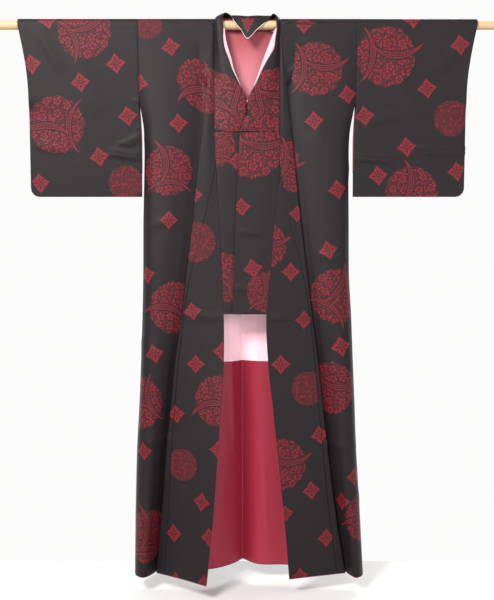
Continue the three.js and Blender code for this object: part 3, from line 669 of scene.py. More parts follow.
def crease(grid, x0, depth0, x1, depth1, width, height, facing=-1):
    """How far a crease lifts each point: a soft ridge, or a trough where the height is negative, along a straight
    line on the front, or on the back where it faces +1. Its section is a bell curve of that width, and it fades out
    towards both ends."""
    start = np.array([x0, -depth0], float)
    line = np.array([x1, -depth1], float) - start
    from_start = grid[:, :, ::2] - start
    share = (from_start @ line) / (line @ line)
    off = np.linalg.norm(from_start - np.clip(share, 0, 1)[:, :, None] * line, axis=2)
    fade = smooth((0.5 - np.abs(share - 0.5)) / CREASE_FADE + CREASE_END)
    return height * np.exp(-(off / width)**2) * fade * (grid[:, :, 1] * facing > 0)


GROUND = (0.0065, 0.0044, 0.0050, 1)
GROUND_WARM = (0.016, 0.006, 0.008, 1)
CRIMSON = (0.18, 0.006, 0.014, 1)
CRIMSON_DEEP = (0.10, 0.004, 0.010, 1)


def figure_threads(start):
    """Where crimson threads lie on the face, from 0 to 1. A large roundel is a mass of five-lobed blossoms with two
    blade leaves that run past its scalloped rim; a small one is a fine net of sprigs; a diamond has four petals."""
    x, y, _ = start.node("UVMap", {"uv_map": "figures"}, {}).parts()
    kind = start.maths("ROUND", x / MAP_STEP)
    one = start.maths("ROUND", y / MAP_STEP)
    x = x - kind * MAP_STEP
    y = y - one * MAP_STEP
    place = start.node("CombineXYZ", {}, {0: x, 1: y, 2: one})
    fray = start.node("TexNoise", {}, {"Vector": place, "Scale": 24.0, "Detail": 2.0}) - 0.5
    r = (x * x + y * y) ** 0.5
    angle = start.maths("ARCTAN2", y, x)

    def blossoms(scale, petal, lobe, line):
        """Thin dark outlines of blossoms scattered by a cell pattern, each of radius = petal + lobe |cos(5a/2)|, with
        the lines between its petals and a ring in its middle; then the blossoms' own faces."""
        moved = start.node("CombineXYZ", {}, {0: x * scale + one * 7.3, 1: y * scale + one * 3.1, 2: 0.0})
        cells = {"voronoi_dimensions": "2D", "feature": "F1"}
        cell = start.node("TexVoronoi", cells, {"Vector": moved, "Scale": 1.0, "Randomness": 0.62}, 2)
        away = start.node("VectorMath", {"operation": "SUBTRACT"}, {0: moved, 1: cell})
        ax, ay, _ = away.parts()
        ar = (ax * ax + ay * ay) ** 0.5
        swing = abs(start.maths("COSINE", start.maths("ARCTAN2", ay, ax) * 2.5 + one * 1.7))
        outline = swing * lobe + petal
        flower = (outline - ar).inside(0.04)
        around = (line - abs(outline - ar)).inside(0.04)
        between_petals = (line * 0.5 - swing * ar).inside(0.03) * flower
        eye = (line * 0.8 - abs(ar - petal * 0.42)).inside(0.03)
        return around.most(between_petals * (ar - petal * 0.45).inside(0.05)).most(eye), flower

    large, large_mass = blossoms(2.6, 0.30, 0.16, 0.05)
    small, _ = blossoms(7.0, 0.24, 0.20, 0.10)
    rim = abs((angle * 7 + one).sine()) * 0.055 + 0.93 + fray * 0.05
    disc = (rim - r).inside(0.04)
    filled = (1 - large.most(small * (1 - large_mass))) * disc

    def blade(cx, cy, radius, middle, half_length, half_width, axis):
        """A long leaf on an arc of a circle: half width times one less the square of the way from its middle."""
        dx = x - cx
        dy = y - cy
        off = (dx * dx + dy * dy) ** 0.5 - radius
        way = (axis - middle) / half_length
        wide = (1 - way * way).most(0.0) * half_width
        body = (wide - abs(off)).inside(0.02)
        edge = (0.018 - abs(abs(off) - wide * 0.82)).inside(0.015) * body
        rib = (0.012 - abs(off)).inside(0.012) * body
        barbs = ((axis * 60 + abs(off) * 50).sine() - 0.2).inside(0.5) * body * 0.55
        near = (wide + 0.045 - abs(off)).inside(0.02) * (1 - way * way).inside(0.1)
        return edge.most(rib).most(barbs * (wide * 0.7 - abs(off)).inside(0.02)), near

    long_leaf, long_near = blade(0.35, 1.25, 1.22, 0.38, 0.86, 0.105, x)
    short_leaf, short_near = blade(-1.62, 0.1, 1.2, 0.05, 0.92, 0.09, y)
    leaves = long_leaf.most(short_leaf)
    roundel = (filled * (1 - long_near.most(short_near))).most(leaves)

    net, _ = blossoms(3.6, 0.24, 0.22, 0.07)
    sprigs, _ = blossoms(8.0, 0.16, 0.26, 0.09)
    small_rim = abs((angle * 11).sine()) * 0.05 + 0.94 + fray * 0.06
    sprig_roundel = (1 - net.most(sprigs * 0.85)) * (small_rim - r).inside(0.05)

    ax = abs(x)
    ay = abs(y)
    star = (1.0 + fray * 0.12 - (ax ** 0.85 + ay ** 0.85)).inside(0.06)
    seed = (1 - (abs(ax.most(ay) - 0.42) / 0.15) ** 2 - (ax.least(ay) / 0.07) ** 2).inside(0.4)
    ring = (0.04 - abs(r - 0.16)).inside(0.03)
    notch = (0.03 - abs(ax - ay) * 0.7071).inside(0.02) * (r - 0.22).inside(0.04)
    diamond = star * (1 - seed.most(ring).most(notch))

    def is_kind(number):
        """1 where the figure is of that kind, and 0 elsewhere."""
        return (0.5 - abs(kind - number)).inside(0.1)

    return (roundel * is_kind(BLOSSOM_ROUNDEL)).most(sprig_roundel * is_kind(SMALL_ROUNDEL)).most(
        diamond * is_kind(DIAMOND))


def crepe(place):
    """Fine crimped weft ribs about 1.4 mm apart, uneven along their length, on the piece's own cloth places."""
    uneven = place.node("TexNoise", {}, {"Vector": place, "Scale": 420.0, "Detail": 2.0})
    _, v, _ = place.parts()
    return (v * 4500 + uneven * 5).sine() * 0.3 + uneven


def figured_silk(start):
    """Dark ground with the crimson figures: fine uneven colour along the warp, and figures that stand up a little."""
    place = start.node("UVMap", {"uv_map": "cloth"}, {})
    figures = figure_threads(start)
    stretched = start.node("Mapping", {}, {"Vector": place, "Scale": (900.0, 120.0, 1.0)})
    warp = start.node("TexNoise", {}, {"Vector": stretched, "Scale": 1.0, "Detail": 2.0})
    ground = ((warp - 0.52) * 2.2).most(0.0).between(GROUND, GROUND_WARM)
    fine = start.node("TexNoise", {}, {"Vector": place, "Scale": 700.0, "Detail": 1.0})
    crimson = ((fine - 0.35) * 1.6).most(0.0).between(CRIMSON_DEEP, CRIMSON)
    return figures.between(ground, crimson), 0.5 - figures * 0.05, crepe(place) + figures * 0.8


silk_cloth = finish_of("silk_cloth", figured_silk, 0.0002,
                       {"Specular IOR Level": 0.17, "Sheen Weight": 0.02, "Sheen Roughness": 0.4})


SILK_LOWEST = -1.6
SILK_HIGHEST = 0.1


def plain_silk(name, stops):
    """Plain woven silk whose colour goes through the given stops, each a height in metres and a colour."""
    places = [((height - SILK_LOWEST) / (SILK_HIGHEST - SILK_LOWEST), colour) for height, colour in stops]

    def surface(start):
        """Colour by height, shaded a little by a soft noise that also roughens it, with the crepe's ribs."""
        place = start.node("TexCoord", {}, {}, 3)
        _, _, z = place.parts()
        uneven = start.node("TexNoise", {}, {"Vector": place, "Scale": 9.0, "Detail": 3.0})
        share = (z - SILK_LOWEST) / (SILK_HIGHEST - SILK_LOWEST)
        mixed = start.node("ValToRGB", {"stops": places}, {0: share})
        shade = (uneven * 0.2 + 0.9).least(1.0)
        colour = start.node("VectorMath", {"operation": "SCALE"}, {0: mixed, "Scale": shade})
        return colour, uneven * 0.12 + 0.42, crepe(start.node("UVMap", {"uv_map": "cloth"}, {}))

    return finish_of(name, surface, 0.0001, {"Specular IOR Level": 0.3, "Sheen Weight": 0.1, "Sheen Roughness": 0.3})


PALE_PINK = (0.92, 0.60, 0.67, 1)
# The lining itself is pale pink all over. The deeper pink and rose stops below are painted shade: they darken it
# towards the top, in place of the shadow inside the neck.
PINK_IN_HALF_SHADE = (0.64, 0.25, 0.29, 1)
NECK_SHADE_ROSE = (0.27, 0.045, 0.060, 1)
SKIRT_CRIMSON = (0.26, 0.014, 0.034, 1)
LINING_STOPS_SHADED_TO_NECK = [(-LINING_CHANGE * MM + 0.001, PALE_PINK), (-0.5, PALE_PINK), (-0.26, PINK_IN_HALF_SHADE), (-0.05, NECK_SHADE_ROSE)]
body_inside = plain_silk("body_lining_silk", [(-LINING_CHANGE * MM - 0.001, SKIRT_CRIMSON)] + LINING_STOPS_SHADED_TO_NECK)

BACK_STEP = 9.0
SEAM_ALLOWANCE = 2
UNLINED_ROWS = 18
TOP_ROWS = 8
BACK_CREASE_SHIFT = 35
NECK_STEP = 3.0
ROW_GAP = 0.5
FRONT_TOP = 3
BACK_FIGURES_TOP = -110
BACK_FIGURES_SHIFT = 40
body_back_depths = np.linspace(HEM, BACK_NECK_DROP + ROW_GAP, int((HEM - BACK_NECK_DROP) / BACK_STEP))
neck_runs = np.arange(-50, 24, NECK_STEP)
body_front_depths = np.linspace(FRONT_TOP, HEM, int(HEM / BACK_STEP))
body_runs = np.concatenate([-body_back_depths - SHOULDER_RUN, neck_runs, body_front_depths + SHOULDER_RUN])
BACK_CREASES = [(60, 420, 230, 380, 16, 2.5), (80, 900, 240, 960, 20, 3.0), (70, 1240, 260, 1200, 18, 2.5),
                (120, 640, 210, 700, 14, 2.0)]
BODY_CREASES = {
    -1: [(-180, 812, -60, 815, 4, 4.5), (-290, 560, -200, 540, 12, 2.5), (-300, 1180, -215, 1165, 14, 3.0),
         (-290, 300, -180, 420, 22, 2.5), (-300, 880, -230, 960, 20, 2.5), (-310, 1380, -250, 1440, 22, 2.5)],
    1: [(50, 822, 182, 808, 4, 5.0), (200, 640, 285, 655, 12, 2.5), (215, 1180, 310, 1195, 14, 3.0),
        (180, 300, 290, 420, 22, 2.5), (220, 930, 290, 1010, 20, 2.5), (250, 1400, 320, 1330, 22, 2.5)],
}
for side, name in SIDES:
    grid = np.concatenate([
        lowered(side, body_back_depths, body_back(side, body_back_depths)),
        over_rod(side, neck_runs),
        lowered(side, body_front_depths, body_front(side, body_front_depths)),
    ])
    cloth = cloth_places(grid, body_runs)
    shown = np.zeros(grid.shape[:2], bool)
    front_rows = -len(body_front_depths) - TOP_ROWS
    shown[front_rows:, :INNER_PLACES] = True
    shown[front_rows:, -OUTER_PLACES:] = True
    figures = np.concatenate([
        placed(BODY_FIGURES[side] + INNER_FIGURES[side], side, grid, cloth, shown),
        bolt(side, -HEM - SHOULDER_RUN, BACK_FIGURES_TOP, BACK_FIGURES_SHIFT * side),
    ])
    lined = np.ones(grid.shape[:2], bool)
    lined[:, -SEAM_ALLOWANCE:] = False
    lined[front_rows:, :-OUTER_PLACES + SEAM_ALLOWANCE] = False
    lined[front_rows:UNLINED_ROWS - len(body_front_depths)] = False
    back_creases = [(side * x0, depth0 + BACK_CREASE_SHIFT * side, side * x1, depth1, width, height, 1)
                    for x0, depth0, x1, depth1, width, height in BACK_CREASES]
    piece = wall(f"body_panel_{name}", grid, cloth, CLOTH, [silk_cloth, body_inside], figures, -side, lined,
                 BODY_CREASES[side] + back_creases)
    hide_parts(f"body_{name}")

# Overlap panels (okumi): a narrow tapering length of the same crepe, sewn to the front edge of each body panel.
# Each runs to a point beside the collar above, and its free front edge hangs parted below the collar.
OVERLAP_POINT = 8
OVERLAP_PLACES = 24


def overlap_rows(side, depth, places):
    """The overlap's share of the inner panel at each depth, in even steps from the front edge."""
    inner, front_turn, _, _ = front_section(side, depth)
    share = overlap_share(depth) - SEAM_GAP / 100
    panel = at_shares(np.concatenate([inner, front_turn[:, :1]], axis=1), share[:, None] * np.linspace(0, 1, places))
    return lowered(side, depth, panel)


overlap_depths = np.linspace(OVERLAP_TOP + OVERLAP_POINT, HEM, int((HEM - OVERLAP_TOP) / BACK_STEP))
for side, name in SIDES:
    grid = overlap_rows(side, overlap_depths, OVERLAP_PLACES)
    cloth = cloth_places(grid, overlap_depths)
    everywhere = np.ones(grid.shape[:2], bool)
    figures = placed(INNER_FIGURES[side], side, grid, cloth, everywhere)
    lined = everywhere.copy()
    lined[:, -SEAM_ALLOWANCE:] = False
    lined[:OVERLAP_PLACES // 2] = False
    piece = wall(f"overlap_panel_{name}", grid, cloth, CLOTH, [silk_cloth, body_inside], figures, -side, lined,
                 BODY_CREASES[side])
    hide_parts(f"overlap_{name}")

# Sleeves (sode): one length each, folded over the rod at the top and sewn to the body only down the armhole.
# The cuff is open at the top of its outer edge, the lower corner is rounded, and the inner edge below hangs open.
CUFF_OPENING = 200
SLEEVE_CORNER = 25
CUFF_TOP_X = 641
CUFF_LOW_X = 615
SLEEVE_INNER_LOW_X = 299
SLEEVE_CHANGE = 60
SLEEVE_TOP = 3
CLOSING_REACH = 3
SLEEVE_FIGURES_TOP = -70
SLEEVE_FIGURES_SHIFT = 120
SLEEVE_FIGURES_PAST = 60
SLEEVE_SPACING = 1.4
SLEEVE_PLACES = 48
SLEEVE_ROWS = 96
ROD_ROWS = 13
SLEEVE_FIGURES = {
    -1: [[455, 20, BLOSSOM_ROUNDEL, 76, 30], [539, 276, BLOSSOM_ROUNDEL, 82, 180], [345, 438, SMALL_ROUNDEL, 50, 0],
         [604, 110, DIAMOND, 29, 8], [368, 108, DIAMOND, 29, 8], [468, 159, DIAMOND, 29, 8],
         [337, 252, DIAMOND, 29, 8], [419, 365, DIAMOND, 29, 8], [589, 440, DIAMOND, 29, 8],
         [557, -12, DIAMOND, 29, 8]],
    1: [[386, 88, BLOSSOM_ROUNDEL, 84, 0], [593, 57, DIAMOND, 29, 8], [503, 176, DIAMOND, 29, 8],
        [574, 259, SMALL_ROUNDEL, 51, 0], [329, 252, DIAMOND, 29, 8], [449, 338, DIAMOND, 29, 8],
        [370, 418, DIAMOND, 29, 8], [594, 407, DIAMOND, 29, 8], [465, 467, BLOSSOM_ROUNDEL, 76, 85],
        [460, -14, DIAMOND, 29, 8]],
}
SLEEVE_CREASES = {
    -1: [(-390, 344, -302, 359, 5, 4.5), (-394, 357, -302, 371, 6, 4.0), (-367, 334, -300, 302, 5, 4.0),
         (-352, 339, -300, 313, 6, 3.0), (-590, 12, -515, 128, 16, 3.0),
         (-318, 205, -299, 212, 6, 2.5), (-600, 330, -520, 345, 14, 2.2), (-480, 60, -420, 250, 26, 2.4)],
    1: [(480, 340, 628, 341, 5, 4.0), (490, 353, 628, 354, 6, 3.5), (302, 357, 422, 367, 5, 4.5),
        (302, 370, 408, 380, 6, 4.0), (610, 40, 530, 130, 16, 2.6),
        (330, 270, 430, 250, 14, 2.4), (410, 90, 470, 260, 26, 2.4)],
}


def sleeve_inner_x(depth):
    """The inner edge: beside the body's side down the armhole, then a smooth step to where it hangs free."""
    sewn = front("side", -1, np.minimum(depth, ARMHOLE)) + 1.5 * SEAM_GAP
    return mix(sewn, SLEEVE_INNER_LOW_X, smooth((depth - ARMHOLE) / (SIDE_SEAM_TOP - ARMHOLE)))


def sleeve_outer_x(depth):
    """The outer edge: a quarter of a sine wave from the cuff's top to its lower end, then straight down."""
    return mix(CUFF_TOP_X, CUFF_LOW_X, np.sin(np.minimum(1, depth / CUFF_OPENING) * np.pi / 2))


def sleeve_grid(side, inset, down_shares, across_shares, edge_at):
    """Two layers and the fold over the rod. A layer's distance from the middle shrinks with the share of its drop,
    and to nothing at the sewn outer edge below the cuff; the drop is less at the rounded corner."""
    width = CUFF_LOW_X - SLEEVE_INNER_LOW_X
    past = np.maximum(0, across_shares * width - (width - SLEEVE_CORNER))
    drop = SLEEVE_DROP - (SLEEVE_CORNER - np.sqrt(SLEEVE_CORNER**2 - past**2))
    depth = down_shares[:, None] * drop
    near_edge = 1 - np.sqrt(np.minimum(1, (1 - across_shares) * CLOSING_REACH))
    closing = smooth((depth - CUFF_OPENING) / SLEEVE_CHANGE) * near_edge
    half = mix(layer_half(down_shares)[:, None], CLOSED_HALF, closing) - inset
    x = side * mix(sleeve_inner_x(depth) + edge_at(depth), sleeve_outer_x(depth), across_shares)
    down = np.stack([x, half, -depth], axis=2)
    turn = np.linspace(1, -1, ROD_ROWS + 2)[1:-1, None] * np.pi / 2
    zero = np.zeros((ROD_ROWS, len(across_shares)))
    top_x = side * mix(sleeve_inner_x(zero) + edge_at(zero), sleeve_outer_x(zero), across_shares)
    radius = SHOULDER_RADIUS - inset
    top = np.stack([top_x, radius * np.sin(turn) + zero, radius * np.cos(turn) + zero], axis=2)
    return np.concatenate([down, top, down[::-1] * (1, -1, 1)])


sleeve_inside = plain_silk("sleeve_lining_silk", [(0.0, SKIRT_CRIMSON)])
sleeve_across = 1 - (1 - np.linspace(0, 1, SLEEVE_PLACES))**SLEEVE_SPACING
sleeve_down = np.linspace(1, SLEEVE_TOP / SLEEVE_DROP, SLEEVE_ROWS)
for side, name in SIDES:
    grid = sleeve_grid(side, 0, sleeve_down, sleeve_across, lambda depth: 0)
    runs = length_along(grid[:, 0])
    cloth = cloth_places(grid, runs - runs[len(runs) // 2])
    shown = np.zeros(grid.shape[:2], bool)
    shown[SLEEVE_ROWS + ROD_ROWS // 2:] = True
    figures = np.concatenate([
        placed(SLEEVE_FIGURES[side], side, grid, cloth, shown),
        bolt(side, -SLEEVE_DROP - SLEEVE_FIGURES_PAST, SLEEVE_FIGURES_TOP, SLEEVE_FIGURES_SHIFT * side),
    ])
    lined = np.ones(grid.shape[:2], bool)
    lined[:, :SEAM_ALLOWANCE] = lined[:, -SEAM_ALLOWANCE:] = False
    piece = wall(f"sleeve_cloth_{name}", grid, cloth, CLOTH, [silk_cloth, sleeve_inside], figures, -side, lined,
                 SLEEVE_CREASES[side])
    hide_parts(f"sleeve_{name}")

# Collar bands below the over-collar (hon-eri): a folded strip of the crepe sewn along the overlap's slanting edge.
# The viewer's right band lies over the left one, and both end square above the waist.
LOWER_COLUMNS = ["depth", "freeL", "freeR", "rise"]
LOWER_ROWS = [[297, 17, -21, 6], [400, 15, -27, 4], [550, 22, -33, 3], [700, 30, -38, 3], [808, 36, -43, 3]]
UNDER_COLLAR_DROP = 2
LOWER_PLACES = 24
LOWER_LENGTHS = 90
FACE_SHARE = 0.3
LOWER_FIGURES = {
    -1: [[94, 337, BLOSSOM_ROUNDEL, 62, 100], [30, 379, DIAMOND, 26, 0], [76, 706, BLOSSOM_ROUNDEL, 74, 170]],
    1: [[14, 341, BLOSSOM_ROUNDEL, 88, 0], [-16, 507, DIAMOND, 27, 5], [15, 679, DIAMOND, 29, 12],
        [56, 745, BLOSSOM_ROUNDEL, 60, 95]],
}
COLLAR_CREASES = [(-28, 576, 42, 580, 7, 3.0), (-34, 730, 14, 744, 7, 2.8), (-20, 330, 30, 334, 6, 2.0)]
lower_depths = np.linspace(OVER_COLLAR_END + SEAM_GAP + CLOTH / 2, COLLAR_END - SEAM_GAP, LOWER_LENGTHS)
for side, name in SIDES:
    seam_x = front("edge", side, lower_depths) - SEAM_GAP
    seam_y = front("edgeY", side, lower_depths)
    free_x = sided(LOWER_COLUMNS, LOWER_ROWS, "free", side, lower_depths)
    face_y = seam_y - sided(LOWER_COLUMNS, LOWER_ROWS, "rise", side, lower_depths)
    face_y = face_y + (UNDER_COLLAR_DROP if side < 0 else 0)
    face_start = mix(seam_x, free_x, FACE_SHARE)
    section = through(plan((seam_x, seam_y), (face_start, face_y), (free_x, face_y)), LOWER_PLACES)
    grid = lowered(side, lower_depths, section)
    cloth = cloth_places(grid, lower_depths)
    everywhere = np.ones(grid.shape[:2], bool)
    figures = placed(LOWER_FIGURES[side], side, grid, cloth, everywhere)
    piece = wall(f"collar_band_{name}", grid, cloth, CLOTH, [silk_cloth], figures, side, creases=COLLAR_CREASES)
    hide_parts(f"collar_{name}")

ROLL_AROUND = 10
ROLL_STEP_SHARE = 0.6


def roll(name, path, radius, material, node):
    """A tube along a path: ring = path + r (cos a) level across the path + r (sin a) up, closed at both ends."""
    along = np.gradient(path, axis=0)
    across = unit(np.stack([-along[:, 1], along[:, 0], 0 * along[:, 0]], axis=1))
    angle = np.linspace(0, 2 * np.pi, ROLL_AROUND, endpoint=False)[:, None]
    rings = path[:, None] + radius * (np.cos(angle) * across[:, None] + np.sin(angle) * (0, 0, 1))
    ids = np.arange(len(path) * ROLL_AROUND).reshape(len(path), ROLL_AROUND)
    after = np.roll(ids, -1, axis=1)
    quads = np.stack([ids[:-1], after[:-1], after[1:], ids[1:]], axis=2).reshape(-1, 4)
    faces = quads.tolist() + [ids[0, ::-1].tolist(), ids[-1].tolist()]
    around = np.arange(ROLL_AROUND) * radius * ROLL_STEP_SHARE
    places = np.stack(np.broadcast_arrays(around, length_along(path)[:, None]), axis=2).reshape(-1, 2)
    corners = np.concatenate([quads.ravel(), ids[0, ::-1], ids[-1]])
    piece = made_of(name, rings, faces, [material], maps={"cloth": places[corners] * MM})
    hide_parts(node)
    return piece


# Over-collar (kake-eri): a second band of the crepe round the neck, folded in half along its length.
# Behind the neck it has flopped forward over the rod as a pointed flap; at the front it ends square on both sides.
BAND_ROWS = [
    [-1, 323, [-57, -31, -297], [-20, -32, -297], [17, -32, -297]],
    [-1, 242, [-48, -31, -216], [-3, -32, -216], [-14, -27, -218]],
    [-1, 186, [-60, -31, -160], [-26, -34, -160], [-62, -26, -162]],
    [-1, 151, [-70, -30, -125], [-43, -33, -125], [-80, -24, -127]],
    [-1, 124, [-74, -29, -98], [-52, -32, -98], [-82, -21, -100]],
    [-1, 93, [-79, -28, -67], [-64, -30, -67], [-82, -18, -69]],
    [-1, 66, [-81, -26, -40], [-68, -28, -40], [-82, -17, -43]],
    [-1, 40, [-82, -24, -14], [-68, -25, -10], [-82, -18, -20]],
    [-1, 17, [-83, -20, 13], [-71, -20, 16], [-68, -15, 20]],
    [-1, 4, [-84, -5, 24], [-74, -8, 27], [-66, -10, 29]],
    [-1, -10, [-82, 6, 23], [-73, 2, 30], [-63, -4, 33]],
    [-1, -24, [-76, 15, 19], [-68, 8, 29], [-58, -4, 33]],
    [-1, -36, [-68, 17, 12], [-60, 7, 28], [-50, -11, 27]],
    [-1, -45, [-52, 18, 8], [-44, 2, 27], [-38, -17, 10]],
    [-1, -50, [-28, 18, 8], [-24, -6, 25], [-20, -21, -13]],
    [1, -51, [0, 18, 8], [0, -8, 23], [0, -27, -40]],
    [1, -50, [28, 18, 8], [26, -6, 25], [24, -21, -17]],
    [1, -45, [55, 18, 8], [50, 2, 26], [44, -16, 1]],
    [1, -36, [72, 17, 12], [67, 7, 27], [60, -11, 16]],
    [1, -24, [84, 14, 19], [80, 8, 27], [72, -3, 31]],
    [1, -10, [88, 5, 20], [84, 0, 25], [77, -5, 28]],
    [1, 4, [88, -6, 20], [84, -9, 23], [78, -10, 26]],
    [1, 17, [85, -19, 11], [84, -21, 13], [79, -15, 18]],
    [1, 40, [86, -23, -13], [84, -27, -13], [82, -18, -16]],
    [1, 66, [84, -27, -40], [79, -31, -40], [83, -18, -42]],
    [1, 93, [82, -32, -67], [75, -35, -67], [84, -20, -69]],
    [1, 124, [74, -34, -98], [57, -37, -98], [83, -24, -100]],
    [1, 151, [66, -36, -125], [42, -38, -125], [78, -27, -127]],
    [1, 186, [58, -38, -160], [26, -40, -160], [60, -32, -162]],
    [1, 242, [46, -39, -216], [0, -41, -216], [12, -36, -218]],
    [1, 323, [52, -38, -297], [15, -40, -297], [-21, -41, -297]],
]
BAND_SEAM_GAP = 1.2
FLAP_HALF = 66
FLAP_BEHIND = 10
CREAM = (0.75, 0.62, 0.50, 1)
cream_silk = plain_silk("collar_edge_silk", [(0.0, CREAM)])
# The back lining takes the same stops, so painted shade darkens it to rose towards the neck.
back_silk = plain_silk("back_lining_silk", LINING_STOPS_SHADED_TO_NECK)
BAND_PLACES = 25
BAND_LENGTHS = 241
BAND_FIGURES = [[-71, 214, BLOSSOM_ROUNDEL, 84, 170], [66, 203, BLOSSOM_ROUNDEL, 84, 10], [0, 2, DIAMOND, 24, 0],
                [20, 341, BLOSSOM_ROUNDEL, 88, 0]]
FLAP_LINE_RADIUS = 0.8
FLAP_LINE_OFF = (0, -0.2, -0.6)


def neck_edge(side, run):
    """The seam of the collar on the body at each run of cloth: the first point of the body's row there."""
    depth = np.abs(run) - SHOULDER_RUN
    behind = lowered(side, depth, body_back(side, np.maximum(depth, 0)))[:, 0]
    before = lowered(side, depth, body_front(side, np.maximum(depth, 0)))[:, 0]
    across = over_rod(side, run)[:, 0]
    is_behind = (run <= -SHOULDER_RUN - BACK_NECK_DROP)[:, None]
    is_before = (run >= SHOULDER_RUN)[:, None]
    return np.where(is_behind, behind, np.where(is_before, before, across))


def band_stations():
    """The band's sections, seam, middle, fold and free edge, at its stations. The seam stands off the neck edge."""
    sides = np.array([row[0] for row in BAND_ROWS])
    runs = np.array([row[1] for row in BAND_ROWS], float)
    points = np.array([row[2:] for row in BAND_ROWS], float)
    seam = np.zeros((len(runs), 3))
    for side in (-1, 1):
        mine = sides == side
        here = neck_edge(side, runs[mine])
        along = neck_edge(side, runs[mine] + 1) - neck_edge(side, runs[mine] - 1)
        turn = np.clip(runs[mine] / SHOULDER_RUN, -1, 1) * np.pi / 2
        facing = np.stack([0 * turn, -np.sin(turn), np.cos(turn)], axis=1)
        away = unit(np.cross(along, facing))
        towards = ((points[mine, 0] - here) * away).sum(axis=1, keepdims=True)
        seam[mine] = here + away * BAND_SEAM_GAP * np.sign(towards)
    return np.concatenate([seam[:, None], points], axis=1)


def band_grid():
    """Smooth sections through the four points, then each column made smooth along the band."""
    sections = through(band_stations(), BAND_PLACES, even=False)
    return through(sections.transpose(1, 0, 2), BAND_LENGTHS, even=False).transpose(1, 0, 2)


grid = band_grid()
cloth = cloth_places(grid, length_along(grid[:, 0]))
figures = placed(BAND_FIGURES, 1, grid, cloth, grid[:, :, 1] < 0)
lined = (grid[:, :, 1] > 0) & (np.arange(BAND_PLACES) < BAND_PLACES // 2)
over_collar = wall("over_collar_band", grid, cloth, CLOTH, [silk_cloth, back_silk], figures, 1, lined)
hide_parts("over_collar")
flap = (grid[:, 0, 1] > FLAP_BEHIND) & (np.abs(grid[:, 0, 0]) < FLAP_HALF)
flap_line = roll("collar_edge_line", grid[flap, -1] + FLAP_LINE_OFF, FLAP_LINE_RADIUS, cream_silk, "over_collar")

# Linings of plain silk: pale strips inside the collar, pink in the upper body, crimson in the skirt and the sleeves.
# Each is sewn in at the edges, so it follows the cloth just inside it and shows where the cloth is open. At the hem
# the skirt lining is rolled out a little below the dark cloth (fuki).
LINING = 1.2
LINING_INSET = CLOTH / 2 + SEAM_GAP + LINING / 2
LINING_END_GAP = 0.5
LINING_CREASES = [(-54, 810, -38, 1230, 7, -3.5), (24, 830, 30, 960, 8, -2.0), (44, 1230, 56, 1500, 10, -2.5)]
LINING_SHORT = 6
SHOW_COLUMNS = ["run", "showL", "showR"]
SHOW_ROWS = [[40, 3, 4], [66, 5, 9], [93, 8, 16], [124, 6, 11], [151, 4, 6], [186, 2, 3], [242, 0, 0]]
STRIP_OFF = (CLOTH + LINING) / 2 + SEAM_GAP
STRIP_FOLD_OFF = 3.4
STRIP_LENGTHS = 90
STRIP_PLACES = 14
STRIP_BAND_PLACES = 10
TUCKED_PLACE = 7
LINING_RAISE = 10
SKIRT_LINING_ROWS = 68
SKIRT_LINING_SHORT = 4
SLEEVE_LINING_DROP = 0.86
SLEEVE_LINING_ROWS = 40
SLEEVE_LINING_PLACES = 28
SLEEVE_LINING_EDGE = (1.5, -1.0)
COLLAR_PINK = (0.46, 0.29, 0.33, 1)
FUKI_RADIUS = 1.3
FUKI_DROP = 0.8
FUKI_PURPLE = (0.10, 0.008, 0.04, 1)
fuki_silk = plain_silk("hem_roll_silk", [(0.0, FUKI_PURPLE)])
collar_silk = plain_silk("collar_lining_silk", [(0.0, COLLAR_PINK)])
skirt_silk = plain_silk("skirt_lining_silk", [(0.0, SKIRT_CRIMSON)])


def moved_off(points, distance):
    """Rows of plan points moved off by a distance to the left of their direction, mitred at each point."""
    steps = unit(np.diff(points, axis=1))
    before = np.concatenate([steps[:, :1], steps], axis=1)
    after = np.concatenate([steps, steps[:, -1:]], axis=1)
    along = unit(before + after)
    reach = distance / np.maximum(0.5, (along * after).sum(axis=2))
    return points + np.stack([-along[:, :, 1], along[:, :, 0]], axis=2) * reach[:, :, None]


def lining_wall(name, grid, material, node, with_pieces=()):
    """A lining as a wall on its grid, with its creases, in the place of its node."""
    cloth = cloth_places(grid, -grid[:, grid.shape[1] // 2, 2])
    piece = wall(name, grid, cloth, LINING, [material], creases=[(*row, 1) for row in LINING_CREASES])
    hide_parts(node)


def back_lining_grid(top, bottom):
    """The back's sections from side to side, moved off inwards and cut short at both sides."""
    depth = np.linspace(top + LINING_END_GAP, bottom - LINING_END_GAP, int((bottom - top) / BACK_STEP))
    left = lowered(-1, depth, body_back(-1, depth))
    right = lowered(1, depth, body_back(1, depth))
    full = np.concatenate([left[:, ::-1], right[:, 1:]], axis=1)
    row = moved_off(full[:, :, :2], -LINING_INSET)[:, LINING_SHORT:-LINING_SHORT]
    return np.concatenate([row, np.broadcast_to(-depth[:, None, None], (*row.shape[:2], 1))], axis=2)


def hem_roll(name, rows, node):
    """The skirt lining rolled out a little below the dark cloth, as a thin soft tube along the hem."""
    return roll(name, rows + (0, 0, -FUKI_DROP), FUKI_RADIUS, fuki_silk, node)


